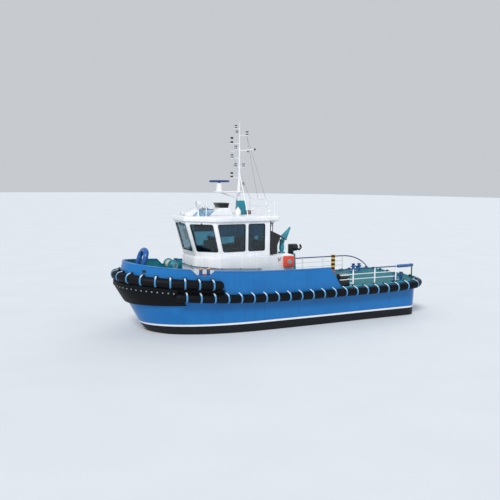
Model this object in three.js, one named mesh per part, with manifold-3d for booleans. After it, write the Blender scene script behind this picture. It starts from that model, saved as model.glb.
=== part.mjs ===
// A small twin-screw harbour tug with its whole hull, deckhouse, wheelhouse, mast and deck gear.
// Millimetres. X points forward, Y to port, Z up. The origin is amidships on the waterline.
import * as THREE from 'three';
import { mergeVertices } from 'three/addons/utils/BufferGeometryUtils.js';
import Module from 'manifold-3d';

const wasm = await Module();
wasm.setup();

// Driving dimensions
const GAP = 0.3;
const DECK = { height: 1800, rise: 500, riseFrom: -1000, riseTo: 8000, aftRise: 160, aftFrom: -5000 };
const EDGE = { stern: -8000, quarter: 900, half: 2550, shoulder: 2500, bow: 7970, power: 2.3 };
const BULWARK = { height: 1080, thick: 60, lean: 250, leanFrom: 1000, aftFoot: -2800, aftHead: -2100 };
const NOTCH = { aftTop: 4180, aftLow: 4450, foreLow: 5030, foreTop: 5330, drop: 250 };
const BOW_FENDER = { radius: 215, above: 420, end: 4050 };
const BELT_FENDER = { radius: 200, below: 205, end: 5890 };
const BOW_BLOCK = { low: 1450, thick: 200, end: 5950 };
const SKEG = { bottom: -2150, thick: 260 };
const SCREW = { x: -6350, y: 1250, z: -1280, radius: 600, blades: 4, bladeHalf: 272 };
const RUDDER = { x: -7150, top: -620, bottom: -1920, chord: 760, thick: 90 };
const TRUNK = { aft: -450, front: 4500, chamfer: 3600, half: 1750, frontHalf: 750, top: 3500 };
const WELL = { aft: 900, front: 3450, half: 1400, floor: 3050 };
const HOUSE = { aft: 800, half: 1600, top: 5200, wall: 60 };
const HOUSE_FRONT = { x: 4950, half: 720, corner: 3820, rake: 520, cornerRake: 390 };
const WINDOW = { sill: 3780, head: 5080, glass: 16 };
const ROOF = { aft: 360, overhang: 90, top: 5440 };
const RAIL = { y: 2450, top: 2700, mid: 2430, low: 2180, start: -2150, radius: 32 };
const MAST = { x: 1750, radius: 60, cross: 8600, head: 8770, tip: 10010 };
const RADAR = { x: 2850, platform: 6600, length: 1080 };

// Paints and finishes
const paint = (color, roughness = 0.45) => new THREE.MeshStandardMaterial({ color, roughness, metalness: 0.1 });
const hullBlue = paint(0x2f7cc0);
const deckTeal = paint(0x0d7a80, 0.6);
const gearTeal = paint(0x149a9c);
const white = paint(0xf2f2f6);
const black = paint(0x15171c);
const railBlue = paint(0x2a5f9e);
const orange = paint(0xe8452e);
const yellow = paint(0xf2c018);
const paleBlue = paint(0xa9cfe6);
const rubber = new THREE.MeshStandardMaterial({ color: 0x0a0f1a, roughness: 0.85 });
const bronze = new THREE.MeshStandardMaterial({ color: 0xb08a4a, roughness: 0.35, metalness: 0.9 });
const steel = new THREE.MeshStandardMaterial({ color: 0x8d9298, roughness: 0.4, metalness: 0.8 });
const glass = new THREE.MeshStandardMaterial({ color: 0x1c3440, roughness: 0.05, transparent: true, opacity: 0.4 });
const navy = paint(0x16265c, 0.3);
const leather = paint(0x24262b, 0.6);

const tug = new THREE.Group();

// Solids from three.js geometry, and back
function toSolid(geometry) {
  const bare = geometry.index ? geometry.toNonIndexed() : geometry.clone();
  bare.deleteAttribute('normal');
  bare.deleteAttribute('uv');
  const merged = mergeVertices(bare, 1e-3);
  const triVerts = new Uint32Array(merged.index.array);
  const make = () => new wasm.Manifold(
    new wasm.Mesh({ numProp: 3, vertProperties: merged.attributes.position.array, triVerts }));
  const solid = make();
  if (solid.volume() > 0) return solid;
  for (let i = 0; i < triVerts.length; i += 3) {
    [triVerts[i + 1], triVerts[i + 2]] = [triVerts[i + 2], triVerts[i + 1]];
  }
  return make();
}

function toGeometry(solid) {
  const { vertProperties, triVerts } = solid.getMesh();
  const geometry = new THREE.BufferGeometry();
  geometry.setAttribute('position', new THREE.BufferAttribute(new Float32Array(vertProperties), 3));
  geometry.setIndex(new THREE.BufferAttribute(new Uint32Array(triVerts), 1));
  geometry.computeVertexNormals();
  return geometry;
}

function addPiece(name, solid, material) {
  const mesh = new THREE.Mesh(toGeometry(solid), material);
  mesh.name = name;
  tug.add(mesh);
}

const join = (...solids) => solids.reduce((whole, solid) => whole.add(solid));
const mirrored = (solid) => toSolid(toGeometry(solid).scale(1, -1, 1));

function addPair(name, solid, material) {
  addPiece(`${name}_port`, solid, material);
  addPiece(`${name}_stbd`, mirrored(solid), material);
}

// A round hole that a pin of this radius and number of sides turns in without touching
const bore = (radius, sides) => (radius + GAP) / Math.cos(Math.PI / sides);

// Basic shapes
function block([x0, x1], [y0, y1], [z0, z1]) {
  const box = new THREE.BoxGeometry(x1 - x0, y1 - y0, z1 - z0);
  return toSolid(box.translate((x0 + x1) / 2, (y0 + y1) / 2, (z0 + z1) / 2));
}

function rod(from, to, radius, { sides = 10, tip = radius } = {}) {
  const start = new THREE.Vector3(...from);
  const along = new THREE.Vector3(...to).sub(start);
  const cylinder = new THREE.CylinderGeometry(tip, radius, along.length(), sides);
  cylinder.translate(0, along.length() / 2, 0);
  cylinder.applyQuaternion(new THREE.Quaternion().setFromUnitVectors(new THREE.Vector3(0, 1, 0), along.normalize()));
  return toSolid(cylinder.translate(...from));
}

function ball(centre, radius, sides = 10) {
  return toSolid(new THREE.SphereGeometry(radius, sides, Math.ceil(sides / 2)).translate(...centre));
}

function pipe(points, radius, sides = 8) {
  const runs = points.slice(1).map((point, i) => rod(points[i], point, radius, { sides }));
  const bends = points.slice(1, -1).map((point) => ball(point, radius, sides));
  return join(...runs, ...bends);
}

function outlineXY(points, [z0, z1]) {
  const shape = new THREE.Shape(points.map(([x, y]) => new THREE.Vector2(x, y)));
  return toSolid(new THREE.ExtrudeGeometry(shape, { depth: z1 - z0, bevelEnabled: false }).translate(0, 0, z0));
}

function outlineXZ(points, [y0, y1]) {
  const shape = new THREE.Shape(points.map(([x, z]) => new THREE.Vector2(x, z)));
  const plate = new THREE.ExtrudeGeometry(shape, { depth: y1 - y0, bevelEnabled: false });
  return toSolid(plate.rotateX(Math.PI / 2).translate(0, y1, 0));
}

// A skin over rings of like point counts, closed at both ends by the triangles that capTriangles gives.
const fanCap = (count) => Array.from({ length: count - 2 }, (_, i) => [0, i + 1, i + 2]);

function mirrorCap(count) {
  const half = (count - 1) / 2;
  const triangles = [];
  for (let i = 0; i < half; i += 1) {
    triangles.push([i, i + 1, count - 1 - i]);
    if (i + 1 < half) triangles.push([i + 1, count - 2 - i, count - 1 - i]);
  }
  return triangles;
}

function loft(rings, capTriangles = fanCap) {
  const count = rings[0].length;
  const index = [];
  for (let k = 0; k < rings.length - 1; k += 1) {
    for (let i = 0; i < count; i += 1) {
      const [a, b] = [k * count + i, k * count + (i + 1) % count];
      index.push(a, b, b + count, a, b + count, a + count);
    }
  }
  const last = (rings.length - 1) * count;
  for (const [a, b, c] of capTriangles(count)) index.push(a, c, b, last + a, last + b, last + c);
  const geometry = new THREE.BufferGeometry();
  geometry.setAttribute('position', new THREE.Float32BufferAttribute(rings.flat(2), 3));
  geometry.setIndex(index);
  return toSolid(geometry);
}

// A four-cornered plate between two faces, used for windows and the panes in them.
function slab(corners, out, back) {
  const [a, b, c] = corners.map((corner) => new THREE.Vector3(...corner));
  const normal = b.clone().sub(a).cross(c.clone().sub(a)).normalize();
  const face = (distance) => corners.map((corner) => new THREE.Vector3(...corner)
    .addScaledVector(normal, distance).toArray());
  return loft([face(back), face(out)]);
}

// The plan of the hull: stations round the port half from the transom to the stem
const deckHeight = (x) => DECK.height
  + DECK.rise * Math.max(0, (x - DECK.riseFrom) / (DECK.riseTo - DECK.riseFrom)) ** 2
  + DECK.aftRise * Math.max(0, (DECK.aftFrom - x) / (DECK.aftFrom - EDGE.stern)) ** 2;
const sideAft = EDGE.stern + EDGE.quarter;
const bowLength = EDGE.bow - EDGE.shoulder;
const onSide = (x) => ({ side: (x - sideAft) / (EDGE.shoulder - sideAft) });
const onBow = (x) => ({ bow: (x - EDGE.shoulder) / bowLength });
const STATIONS = [
  ...[180, 157.5, 135, 112.5, 90].map((degrees) => ({ quarter: THREE.MathUtils.degToRad(degrees) })),
  ...[DECK.aftFrom, BULWARK.aftFoot, BULWARK.aftHead, DECK.riseFrom, 700, EDGE.shoulder].map(onSide),
  ...[3300, NOTCH.aftTop, NOTCH.aftLow, NOTCH.foreLow, NOTCH.foreTop, BELT_FENDER.end].map(onBow),
  ...[6450, 6900, 7270, 7560, 7770, 7900, EDGE.bow].map(onBow),
];

function planPoint(level, station) {
  const { stern, quarter, half, shoulder, bow, power } = level;
  if ('quarter' in station) {
    const [nx, ny] = [Math.cos(station.quarter), Math.sin(station.quarter)];
    return { x: stern + quarter + quarter * nx, y: half - quarter + quarter * ny, nx, ny };
  }
  if ('side' in station) {
    return { x: THREE.MathUtils.lerp(stern + quarter, shoulder, station.side), y: half, nx: 0, ny: 1 };
  }
  const u = station.bow;
  const y = half * Math.max(0, 1 - u ** power) ** (1 / power);
  const normal = new THREE.Vector2(u ** (power - 1) / (bow - shoulder), (y / half) ** (power - 1) / half).normalize();
  return { x: shoulder + (bow - shoulder) * u, y, nx: normal.x, ny: normal.y };
}

function planRing(level, stations, place) {
  const port = stations.map((station) => place(planPoint(level, station)));
  const starboard = port.filter(([, y]) => y > 1).reverse().map(([x, y, z]) => [x, -y, z]);
  return [...port, ...starboard];
}

// Hull: three outlines one above the other, with the bosses of the rudder stocks, and a skeg below it
// Columns: stern, quarter, half, shoulder, bow, power, height aft, amidships and forward
const HULL_LEVELS = [
  [-7300, 300, 750, 0, 5500, 1.7, -480, -1600, -1250],
  [-7900, 600, 2330, 900, 6900, 2.0, -280, -900, 350],
];
const CUT_UP = { from: -1500, to: -5500 };

function levelHeight([aft, middle, fore], level, x) {
  if (x > level.shoulder) {
    return THREE.MathUtils.lerp(middle, fore, ((x - level.shoulder) / (level.bow - level.shoulder)) ** 2);
  }
  return THREE.MathUtils.lerp(middle, aft, THREE.MathUtils.smoothstep(-x, -CUT_UP.from, -CUT_UP.to));
}

function hullBody(grow) {
  const rings = HULL_LEVELS.map(([stern, quarter, half, shoulder, bow, power, ...heights]) => {
    const level = { stern: stern - grow, quarter, half: half + grow, shoulder, bow: bow + grow, power };
    return planRing(level, STATIONS, ({ x, y }) => [x, y, levelHeight(heights, level, x) - grow]);
  });
  const edge = { ...EDGE, stern: EDGE.stern - grow, half: EDGE.half + grow, bow: EDGE.bow + grow };
  rings.push(planRing(edge, STATIONS, ({ x, y }) => [x, y, deckHeight(x) + grow]));
  return loft(rings, mirrorCap);
}

const hullGrown = hullBody(GAP);
const skegHalf = SKEG.thick / 2;
const skeg = outlineXZ(
  [[5000, -300], [5000, -1400], [3900, SKEG.bottom], [-5600, SKEG.bottom], [-6000, -300]],
  [-skegHalf, skegHalf]);
const rudderBoss = rod([RUDDER.x, SCREW.y, -200], [RUDDER.x, SCREW.y, RUDDER.top], 95, { sides: 12 });
addPiece('hull', join(hullBody(0), rudderBoss, mirrored(rudderBoss)), hullBlue);
addPiece('skeg', skeg.subtract(hullGrown), hullBlue);

// Bulwark: a plate that leans in towards the stem, with a notch and a sloped aft end on each side
const bulwarkStations = STATIONS.filter((station) => planPoint(EDGE, station).x > BULWARK.aftFoot - 1
  && !('quarter' in station));

function bulwarkHeight(x) {
  if (x < BULWARK.aftFoot + 1) return 60;
  if (x > NOTCH.aftLow - 1 && x < NOTCH.foreLow + 1) return BULWARK.height - NOTCH.drop;
  return BULWARK.height;
}

function bulwarkLean(x) {
  return BULWARK.lean * Math.max(0, (x - BULWARK.leanFrom) / (EDGE.bow - BULWARK.leanFrom)) ** 2;
}

const roundBow = (stations, section) => {
  const port = stations.map((station) => section(planPoint(EDGE, station)));
  const stern = port.slice(0, -1).reverse().map((ring) => ring.map(([x, y, z]) => [x, -y, z]));
  return [...port, ...stern];
};

function bulwarkBody(grow) {
  return loft(roundBow(bulwarkStations, ({ x, y, nx, ny }) => {
    const [foot, head] = [deckHeight(x) + GAP - grow, deckHeight(x) + bulwarkHeight(x) + grow];
    const lean = bulwarkLean(x) * bulwarkHeight(x) / BULWARK.height;
    const at = (inboard, z) => [x - nx * inboard, y - ny * inboard, z];
    const [outer, inner] = [-grow, BULWARK.thick + grow];
    return [at(outer, foot), at(outer + lean, head), at(inner + lean, head), at(inner, foot)];
  }));
}

const bulwark = bulwarkBody(0);
addPiece('bulwark', bulwark, deckTeal);
const shipGrown = join(hullGrown, bulwarkBody(GAP));

// Fenders: rubber tubes round the bow at the bulwark's foot, and round the sides and stern below the deck
function tubeSection(radius, sides, centre, nx, ny) {
  return Array.from({ length: sides }, (_, i) => {
    const angle = 2 * Math.PI * i / sides;
    const out = radius * Math.cos(angle);
    return [centre[0] + nx * out, centre[1] + ny * out, centre[2] + radius * Math.sin(angle)];
  });
}

const SINK = 25;
const bowFenderCentre = ({ x, y, nx, ny }) => {
  const out = BOW_FENDER.radius - SINK - bulwarkLean(x) * BOW_FENDER.above / BULWARK.height;
  return [x + nx * out, y + ny * out, deckHeight(x) + BOW_FENDER.above];
};
const bowFenderStations = STATIONS.filter((station) => 'bow' in station
  && planPoint(EDGE, station).x >= BOW_FENDER.end);
const bowFenderTube = loft(roundBow(bowFenderStations, (plan) => tubeSection(
  BOW_FENDER.radius, 12, bowFenderCentre(plan), plan.nx, plan.ny)));
const bowFenderEnd = ball(bowFenderCentre(planPoint(EDGE, bowFenderStations[0])), BOW_FENDER.radius, 12);
addPiece('bow_fender', join(bowFenderTube, bowFenderEnd, mirrored(bowFenderEnd)).subtract(shipGrown), rubber);

const beltCentre = ({ x, y, nx, ny }) => {
  const out = BELT_FENDER.radius - SINK;
  return [x + nx * out, y + ny * out, deckHeight(x) - BELT_FENDER.below];
};
const beltStations = STATIONS.filter((station) => planPoint(EDGE, station).x <= BELT_FENDER.end + 1).reverse();
const beltPort = beltStations.map((station) => planPoint(EDGE, station));
const beltRings = [
  ...beltPort,
  ...beltPort.slice().reverse().map((plan) => ({ ...plan, y: -plan.y, ny: -plan.ny })),
].map((plan) => tubeSection(BELT_FENDER.radius, 12, beltCentre(plan), plan.nx, plan.ny));
const beltEnd = ball(beltCentre(beltPort[0]), BELT_FENDER.radius * 0.98, 12);

const blockStations = STATIONS.filter((station) => planPoint(EDGE, station).x > BOW_BLOCK.end);
const [, chineLevel] = HULL_LEVELS;
const chine = { half: chineLevel[2], shoulder: chineLevel[3], bow: chineLevel[4], power: chineLevel[5] };
const blockPort = blockStations.map((station) => {
  const top = planPoint(EDGE, station);
  const foot = planPoint(chine, station);
  const share = (BOW_BLOCK.low - chineLevel[8]) / (deckHeight(top.x) - chineLevel[8]);
  const low = { x: THREE.MathUtils.lerp(foot.x, top.x, share), y: THREE.MathUtils.lerp(foot.y, top.y, share) };
  const deckZ = deckHeight(top.x);
  const headZ = deckZ + BOW_FENDER.above - BOW_FENDER.radius - 3;
  const at = (plan, out, z) => [plan.x + top.nx * out, plan.y + top.ny * out, z];
  return [at(low, BOW_BLOCK.thick, BOW_BLOCK.low), at(top, BOW_BLOCK.thick, deckZ), at(top, BOW_BLOCK.thick, headZ),
    at(top, 25, headZ), at(top, 25, deckZ), at(low, -20, BOW_BLOCK.low)];
});
const blockRings = [...blockPort, ...blockPort.slice(0, -1).reverse().map((ring) => ring.map(([x, y, z]) => [x, -y, z]))];
const bowBlock = loft(blockRings).subtract(shipGrown);
addPiece('bow_push_block', bowBlock, rubber);
const beltFender = join(loft(beltRings), beltEnd, mirrored(beltEnd)).subtract(hullGrown);
addPiece('belt_fender', beltFender, rubber);

// Deckhouse trunk, with a well that holds the wheelhouse floor
const seated = (solid) => solid.subtract(hullGrown);
const symmetric = (port) => [...port, ...port.slice().reverse().map(([x, y]) => [x, -y])];
const trunkOutline = symmetric([[TRUNK.aft, TRUNK.half], [TRUNK.chamfer, TRUNK.half], [TRUNK.front, TRUNK.frontHalf]]);
const trunkWell = block([WELL.aft, WELL.front], [-WELL.half, WELL.half], [WELL.floor, TRUNK.top + 100]);
addPiece('deckhouse', seated(outlineXY(trunkOutline, [DECK.height - 100, TRUNK.top])).subtract(trunkWell), white);

// Wheelhouse: raked walls, one opening for each pane and one for the door
function housePlan(z, inset) {
  const share = (HOUSE.top - z) / (HOUSE.top - TRUNK.top);
  const front = HOUSE_FRONT.x - HOUSE_FRONT.rake * share;
  const corner = HOUSE_FRONT.corner - HOUSE_FRONT.cornerRake * share;
  return symmetric([
    [HOUSE.aft + inset, HOUSE.half - inset],
    [corner - inset * 0.35, HOUSE.half - inset],
    [front - inset, HOUSE_FRONT.half - inset * 0.5],
  ]).map(([x, y]) => [x, y, z]);
}

const houseFoot = TRUNK.top + GAP;
const shellOuter = loft([housePlan(houseFoot, 0), housePlan(HOUSE.top, 0)]);
const shellInner = loft([housePlan(houseFoot - 50, HOUSE.wall), housePlan(HOUSE.top + 50, HOUSE.wall)]);

const facePoint = (from, to, share, z) => {
  const [low, high] = [housePlan(z, 0)[from], housePlan(z, 0)[to]];
  return [THREE.MathUtils.lerp(low[0], high[0], share), THREE.MathUtils.lerp(low[1], high[1], share), z];
};
const faceWindow = (from, to, [near, far]) => [
  facePoint(from, to, near, WINDOW.sill), facePoint(from, to, far, WINDOW.sill),
  facePoint(from, to, far, WINDOW.head), facePoint(from, to, near, WINDOW.head)];
const sideWindow = (side, [lowFore, lowAft], [highAft, highFore]) => [
  [lowFore, side * HOUSE.half, WINDOW.sill], [lowAft, side * HOUSE.half, WINDOW.sill],
  [highAft, side * HOUSE.half, WINDOW.head], [highFore, side * HOUSE.half, WINDOW.head]];
const aftWindow = [[HOUSE.aft, -180, 4150], [HOUSE.aft, 420, 4150], [HOUSE.aft, 420, WINDOW.head],
  [HOUSE.aft, -180, WINDOW.head]];
// Columns: name, four corners
const WINDOWS = [
  ['window_front', faceWindow(2, 3, [0.1, 0.9])],
  ['window_corner_port', faceWindow(1, 2, [0.1, 0.88])],
  ['window_corner_stbd', faceWindow(4, 3, [0.1, 0.88])],
  ['window_side_fore_port', sideWindow(1, [3370, 2210], [2210, 3670])],
  ['window_side_fore_stbd', sideWindow(-1, [3370, 2210], [2210, 3670])],
  ['window_side_aft_port', sideWindow(1, [2030, 1140], [1140, 2030])],
  ['window_side_aft_stbd', sideWindow(-1, [2030, 1140], [1140, 2030])],
  ['window_aft', aftWindow],
];

function outwards(corners) {
  const middle = new THREE.Vector3(2500, 0, 4300);
  const [a, b, c] = corners.map((corner) => new THREE.Vector3(...corner));
  const normal = b.clone().sub(a).cross(c.clone().sub(a));
  return normal.dot(a.clone().sub(middle)) > 0 ? corners : corners.slice().reverse();
}

function shrunk(corners, margin) {
  const centre = corners.reduce((sum, corner) => sum.add(new THREE.Vector3(...corner)), new THREE.Vector3())
    .multiplyScalar(0.25);
  return corners.map((corner) => {
    const away = new THREE.Vector3(...corner).sub(centre);
    return centre.clone().addScaledVector(away, 1 - margin * 1.5 / away.length()).toArray();
  });
}

const DOOR = { axisX: 745, hinge: -960, free: -270, foot: 3530, head: 5130, thick: 45, clear: 5 };
const doorway = block([HOUSE.aft - 100, HOUSE.aft + 200], [DOOR.hinge + 50, DOOR.free - 40], [3560, 5090]);
const doorLug = (z) => join(
  rod([DOOR.axisX, DOOR.hinge, z - 60], [DOOR.axisX, DOOR.hinge, z - GAP], 14),
  block([DOOR.axisX, HOUSE.aft + 10], [DOOR.hinge - 8, DOOR.hinge + 8], [z - 60, z - GAP]));
const HINGE_HEIGHTS = [3800, 4800];
let shell = shellOuter.subtract(shellInner).subtract(doorway);
for (const [, corners] of WINDOWS) shell = shell.subtract(slab(outwards(corners), 200, -200));
addPiece('wheelhouse', join(shell, ...HINGE_HEIGHTS.map(doorLug)), white);
for (const [name, corners] of WINDOWS) {
  addPiece(name, slab(shrunk(outwards(corners), GAP), -20, -20 - WINDOW.glass), glass);
}

const leafFace = HOUSE.aft - DOOR.clear;
const doorLeaf = block([leafFace - DOOR.thick, leafFace], [DOOR.hinge + 16, DOOR.free], [DOOR.foot, DOOR.head]);
const doorGlass = block([leafFace - 200, leafFace + 200], [DOOR.hinge + 150, DOOR.free - 130], [4250, 4950]);
const doorKnuckle = (z) => join(
  rod([DOOR.axisX, DOOR.hinge, z], [DOOR.axisX, DOOR.hinge, z + 60], 14),
  block([DOOR.axisX - 8, DOOR.axisX + 12], [DOOR.hinge, DOOR.hinge + 40], [z, z + 60]));
const doorHandle = rod([leafFace - 130, DOOR.free - 60, 4200], [leafFace - 130, DOOR.free - 60, 4050], 14);
const handleStem = rod([leafFace - 20, DOOR.free - 60, 4180], [leafFace - 130, DOOR.free - 60, 4180], 12);
addPiece('wheelhouse_door', join(doorLeaf.subtract(doorGlass), ...HINGE_HEIGHTS.map(doorKnuckle), doorHandle,
  handleStem), white);

// Roof
const roofFoot = HOUSE.top + GAP;
const roofOutline = symmetric([
  [ROOF.aft, HOUSE.half + ROOF.overhang],
  [HOUSE_FRONT.corner, HOUSE.half + ROOF.overhang],
  [HOUSE_FRONT.x + ROOF.overhang, HOUSE_FRONT.half],
]);
addPiece('wheelhouse_roof', outlineXY(roofOutline, [roofFoot, ROOF.top]), white);
const onRoof = ROOF.top + GAP;

// Inside the wheelhouse: the helm and one seat
const onFloor = WELL.floor + GAP;
const consoleSide = [[2900, onFloor], [3400, onFloor], [3400, 4150], [3150, 4150], [2800, 3980], [2900, 3900]];
addPiece('helm_console', outlineXZ(consoleSide, [-650, 650]), black);
addPiece('helm_seat', join(
  rod([2100, 0, onFloor], [2100, 0, 3650], 60),
  rod([2100, 0, onFloor], [2100, 0, onFloor + 30], 230, { sides: 14 }),
  block([1860, 2360], [-250, 250], [3620, 3740]),
  block([1800, 1900], [-240, 240], [3700, 4350])), leather);

// Bitts: twin posts on a base plate. Columns: name, x, y, half spacing, radius, height, bar height
const BITTS = [
  ['bitts_fore', 4530, 2000, 190, 80, 1130, 820],
  ['bitts_aft', -6900, 1900, 200, 85, 420, 260],
];
for (const [name, x, y, spacing, radius, height, bar] of BITTS) {
  const foot = deckHeight(x - spacing) - 40;
  const top = deckHeight(x) + height;
  const post = (at) => join(
    rod([at, y, foot], [at, y, top], radius, { sides: 12 }),
    rod([at, y, top - 40], [at, y, top], radius * 1.3, { sides: 12 }));
  const base = block([x - spacing * 2, x + spacing * 2], [y - radius * 1.6, y + radius * 1.6],
    [foot, deckHeight(x + spacing * 2) + 30]);
  const crossBar = rod([x - spacing * 1.9, y, deckHeight(x) + bar], [x + spacing * 1.9, y, deckHeight(x) + bar], 38);
  addPair(name, seated(join(base, post(x - spacing), post(x + spacing), crossBar)), railBlue);
}

// Staple on the foredeck, raked aft
const STAPLE = { footX: 7250, topX: 6720, half: 380, top: 3850, radius: 125 };
const staplePath = [[STAPLE.footX, 2100, 0], [STAPLE.topX + 80, STAPLE.top - 200, 0], [STAPLE.topX, STAPLE.top, 200]];
const stapleLeg = staplePath.map(([x, z, inboard]) => [x, STAPLE.half - inboard, z]);
const staplePipe = [...stapleLeg, ...stapleLeg.slice().reverse().map(([x, y, z]) => [x, -y, z])];
addPiece('bow_staple', seated(pipe(staplePipe, STAPLE.radius, 10)), railBlue);

// Windlass: a pedestal with two cheeks, and a drum that turns between them with a warping head outside
const WINDLASS = { x: 5420, z: 3120, cheek: 330, thick: 50, drum: 160, flange: 260 };
const cheekOutline = [[WINDLASS.x - 260, 1950], [WINDLASS.x + 260, 1950], [WINDLASS.x + 110, WINDLASS.z + 90],
  [WINDLASS.x - 110, WINDLASS.z + 90]];
const cheek = (side) => outlineXZ(cheekOutline, [side * WINDLASS.cheek - WINDLASS.thick / 2,
  side * WINDLASS.cheek + WINDLASS.thick / 2]);
const axleHole = rod([WINDLASS.x, -600, WINDLASS.z], [WINDLASS.x, 600, WINDLASS.z], bore(45, 24), { sides: 24 });
const windlassBed = block([WINDLASS.x - 300, WINDLASS.x + 300], [-WINDLASS.cheek - 60, WINDLASS.cheek + 60],
  [1950, 2250]);
addPiece('windlass_frame', seated(join(windlassBed, cheek(-1), cheek(1)).subtract(axleHole)), gearTeal);
const alongDrum = (y0, y1, radius, sides = 16) => rod([WINDLASS.x, y0, WINDLASS.z], [WINDLASS.x, y1, WINDLASS.z],
  radius, { sides });
const drumEnd = WINDLASS.cheek - WINDLASS.thick / 2 - 5;
addPiece('windlass_drum', join(
  alongDrum(-520, 620, 45, 24), alongDrum(-drumEnd, drumEnd, WINDLASS.drum),
  alongDrum(-drumEnd, -drumEnd + 30, WINDLASS.flange), alongDrum(drumEnd - 30, drumEnd, WINDLASS.flange),
  alongDrum(400, 440, 190), alongDrum(440, 580, 120), alongDrum(580, 620, 190)), gearTeal);

// Foredeck hatch: a coaming and a lid that hinges at its forward edge
const HATCH = { x: 6370, half: 300, top: 2420, wall: 30, lid: 40 };
const hatchX = [HATCH.x - HATCH.half, HATCH.x + HATCH.half];
const coaming = block(hatchX, [-HATCH.half, HATCH.half], [2000, HATCH.top]).subtract(block(
  [hatchX[0] + HATCH.wall, hatchX[1] - HATCH.wall], [-HATCH.half + HATCH.wall, HATCH.half - HATCH.wall], [2250, 2500]));
const hatchPin = { x: hatchX[1] + 30, z: HATCH.top + 25 };
const hatchLug = (y) => join(
  block([hatchX[1] - 10, hatchPin.x + 14], [y, y + 40], [HATCH.top - 80, HATCH.top - 10]),
  block([hatchPin.x - 14, hatchPin.x + 14], [y, y + 40], [HATCH.top - 80, hatchPin.z]),
  rod([hatchPin.x, y, hatchPin.z], [hatchPin.x, y + 40, hatchPin.z], 16));
addPiece('fore_hatch', seated(join(coaming, hatchLug(-200), hatchLug(160))), deckTeal);
const lidLow = HATCH.top + 6;
const lidPlate = block([hatchX[0] - 40, hatchX[1] + 2], [-HATCH.half - 40, HATCH.half + 40],
  [lidLow, lidLow + HATCH.lid]);
const lidHinge = (y) => join(
  rod([hatchPin.x, y, hatchPin.z], [hatchPin.x, y + 40, hatchPin.z], 16),
  block([hatchX[1] - 40, hatchPin.x], [y, y + 40], [hatchPin.z, lidLow + HATCH.lid + 10]));
const lidGrip = pipe([[hatchX[0] + 60, -70, lidLow + 30], [hatchX[0] + 60, -70, lidLow + 90],
  [hatchX[0] + 60, 70, lidLow + 90], [hatchX[0] + 60, 70, lidLow + 30]], 12);
addPiece('fore_hatch_lid', join(lidPlate, lidHinge(-200 + 40 + GAP), lidHinge(160 - 40 - GAP), lidGrip), deckTeal);

// Side rails round the aft deck. The starboard one curves down to the deck; the port one ends on a post, in a sleeve.
const railStart = [RAIL.start, RAIL.y, RAIL.top];
const RAIL_ENDS = {
  port: [[-7000, RAIL.y, RAIL.top], [-7400, 2400, RAIL.top + 10], [-7400, 2400, DECK.height]],
  stbd: [[-6450, RAIL.y, RAIL.top], [-6900, RAIL.y, 2640], [-7260, 2430, 2530], [-7540, 2320, 2370],
    [-7720, 2150, 2170], [-7810, 2020, DECK.height]],
};
const SLEEVE = { from: -6450, radius: 85 };
const railSleeve = pipe([[SLEEVE.from, RAIL.y, RAIL.top], ...RAIL_ENDS.port.slice(0, 2)], SLEEVE.radius, 10);
const STANCHIONS = [-3570, -4930, -6300];
const stanchion = (x) => join(
  rod([x, RAIL.y, DECK.height + GAP], [x, RAIL.y, RAIL.top], 26, { sides: 8 }),
  rod([x, RAIL.y, DECK.height + GAP], [x, RAIL.y, DECK.height + 120], 45, { sides: 8 }));
const lowerRails = [RAIL.mid, RAIL.low].map((z) => rod([-2750, RAIL.y, z], [STANCHIONS[2], RAIL.y, z], 18, { sides: 8 }));
const sideRail = (end) => join(pipe([railStart, ...end], RAIL.radius, 10), ...STANCHIONS.map(stanchion), ...lowerRails);
addPiece('side_rail_port', join(sideRail(RAIL_ENDS.port), railSleeve).subtract(shipGrown), railBlue);
addPiece('side_rail_stbd', mirrored(sideRail(RAIL_ENDS.stbd).subtract(shipGrown)), railBlue);
const LOCKER = { x: [-3440, -2880], y: [1950, 2330], top: 2440 };
addPiece('deck_locker', block(LOCKER.x, LOCKER.y, [DECK.height + GAP, LOCKER.top]), black);

// Trunk handrails, the round-fronted box on the port side and the striped post
// The handrail follows the trunk's side, its cut-back corner and half its front, 80 mm off the plate.
const GRAB = { off: 80, path: [[1420, 1830, 2900], [3636, 1830, 3020], [4580, 781, 3060], [4580, 50, 3060]] };
const cornerOut = [TRUNK.half - TRUNK.frontHalf, TRUNK.front - TRUNK.chamfer, 0].map((part, _, all) => part / Math.hypot(...all));
// Columns: run of the path, share along it, outward direction
const GRAB_BRACKETS = [[0, 0.05, [0, 1, 0]], [0, 0.5, [0, 1, 0]], [0, 0.95, [0, 1, 0]], [1, 0.5, cornerOut], [2, 0.5, [1, 0, 0]]];
const grabBrackets = GRAB_BRACKETS.map(([run, share, out]) => {
  const head = new THREE.Vector3(...GRAB.path[run]).lerp(new THREE.Vector3(...GRAB.path[run + 1]), share);
  const foot = head.clone().addScaledVector(new THREE.Vector3(...out), GAP * 4 - GRAB.off);
  return rod(foot.toArray(), head.toArray(), 12, { sides: 6 });
});
addPair('trunk_handrail', join(pipe(GRAB.path, 20, 8), ...grabBrackets), railBlue);
const BOX = { x: [-370, 190], z: [2920, 3470], y: TRUNK.half + GAP, depth: 190 };
addPiece('side_box', join(
  block(BOX.x, [BOX.y, BOX.y + BOX.depth], BOX.z),
  rod([-90, BOX.y + 100, 3195], [-90, BOX.y + BOX.depth + 40, 3195], 150, { sides: 20 })), orange);
const POST = { x: -5470, y: -2180, radius: 110, top: 2830 };
addPiece('striped_post', seated(join(
  rod([POST.x, POST.y, DECK.height], [POST.x, POST.y, POST.top], POST.radius, { sides: 14 }),
  rod([POST.x, POST.y, DECK.height], [POST.x, POST.y, DECK.height + 80], POST.radius * 1.35, { sides: 14 }))),
yellow);

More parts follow.
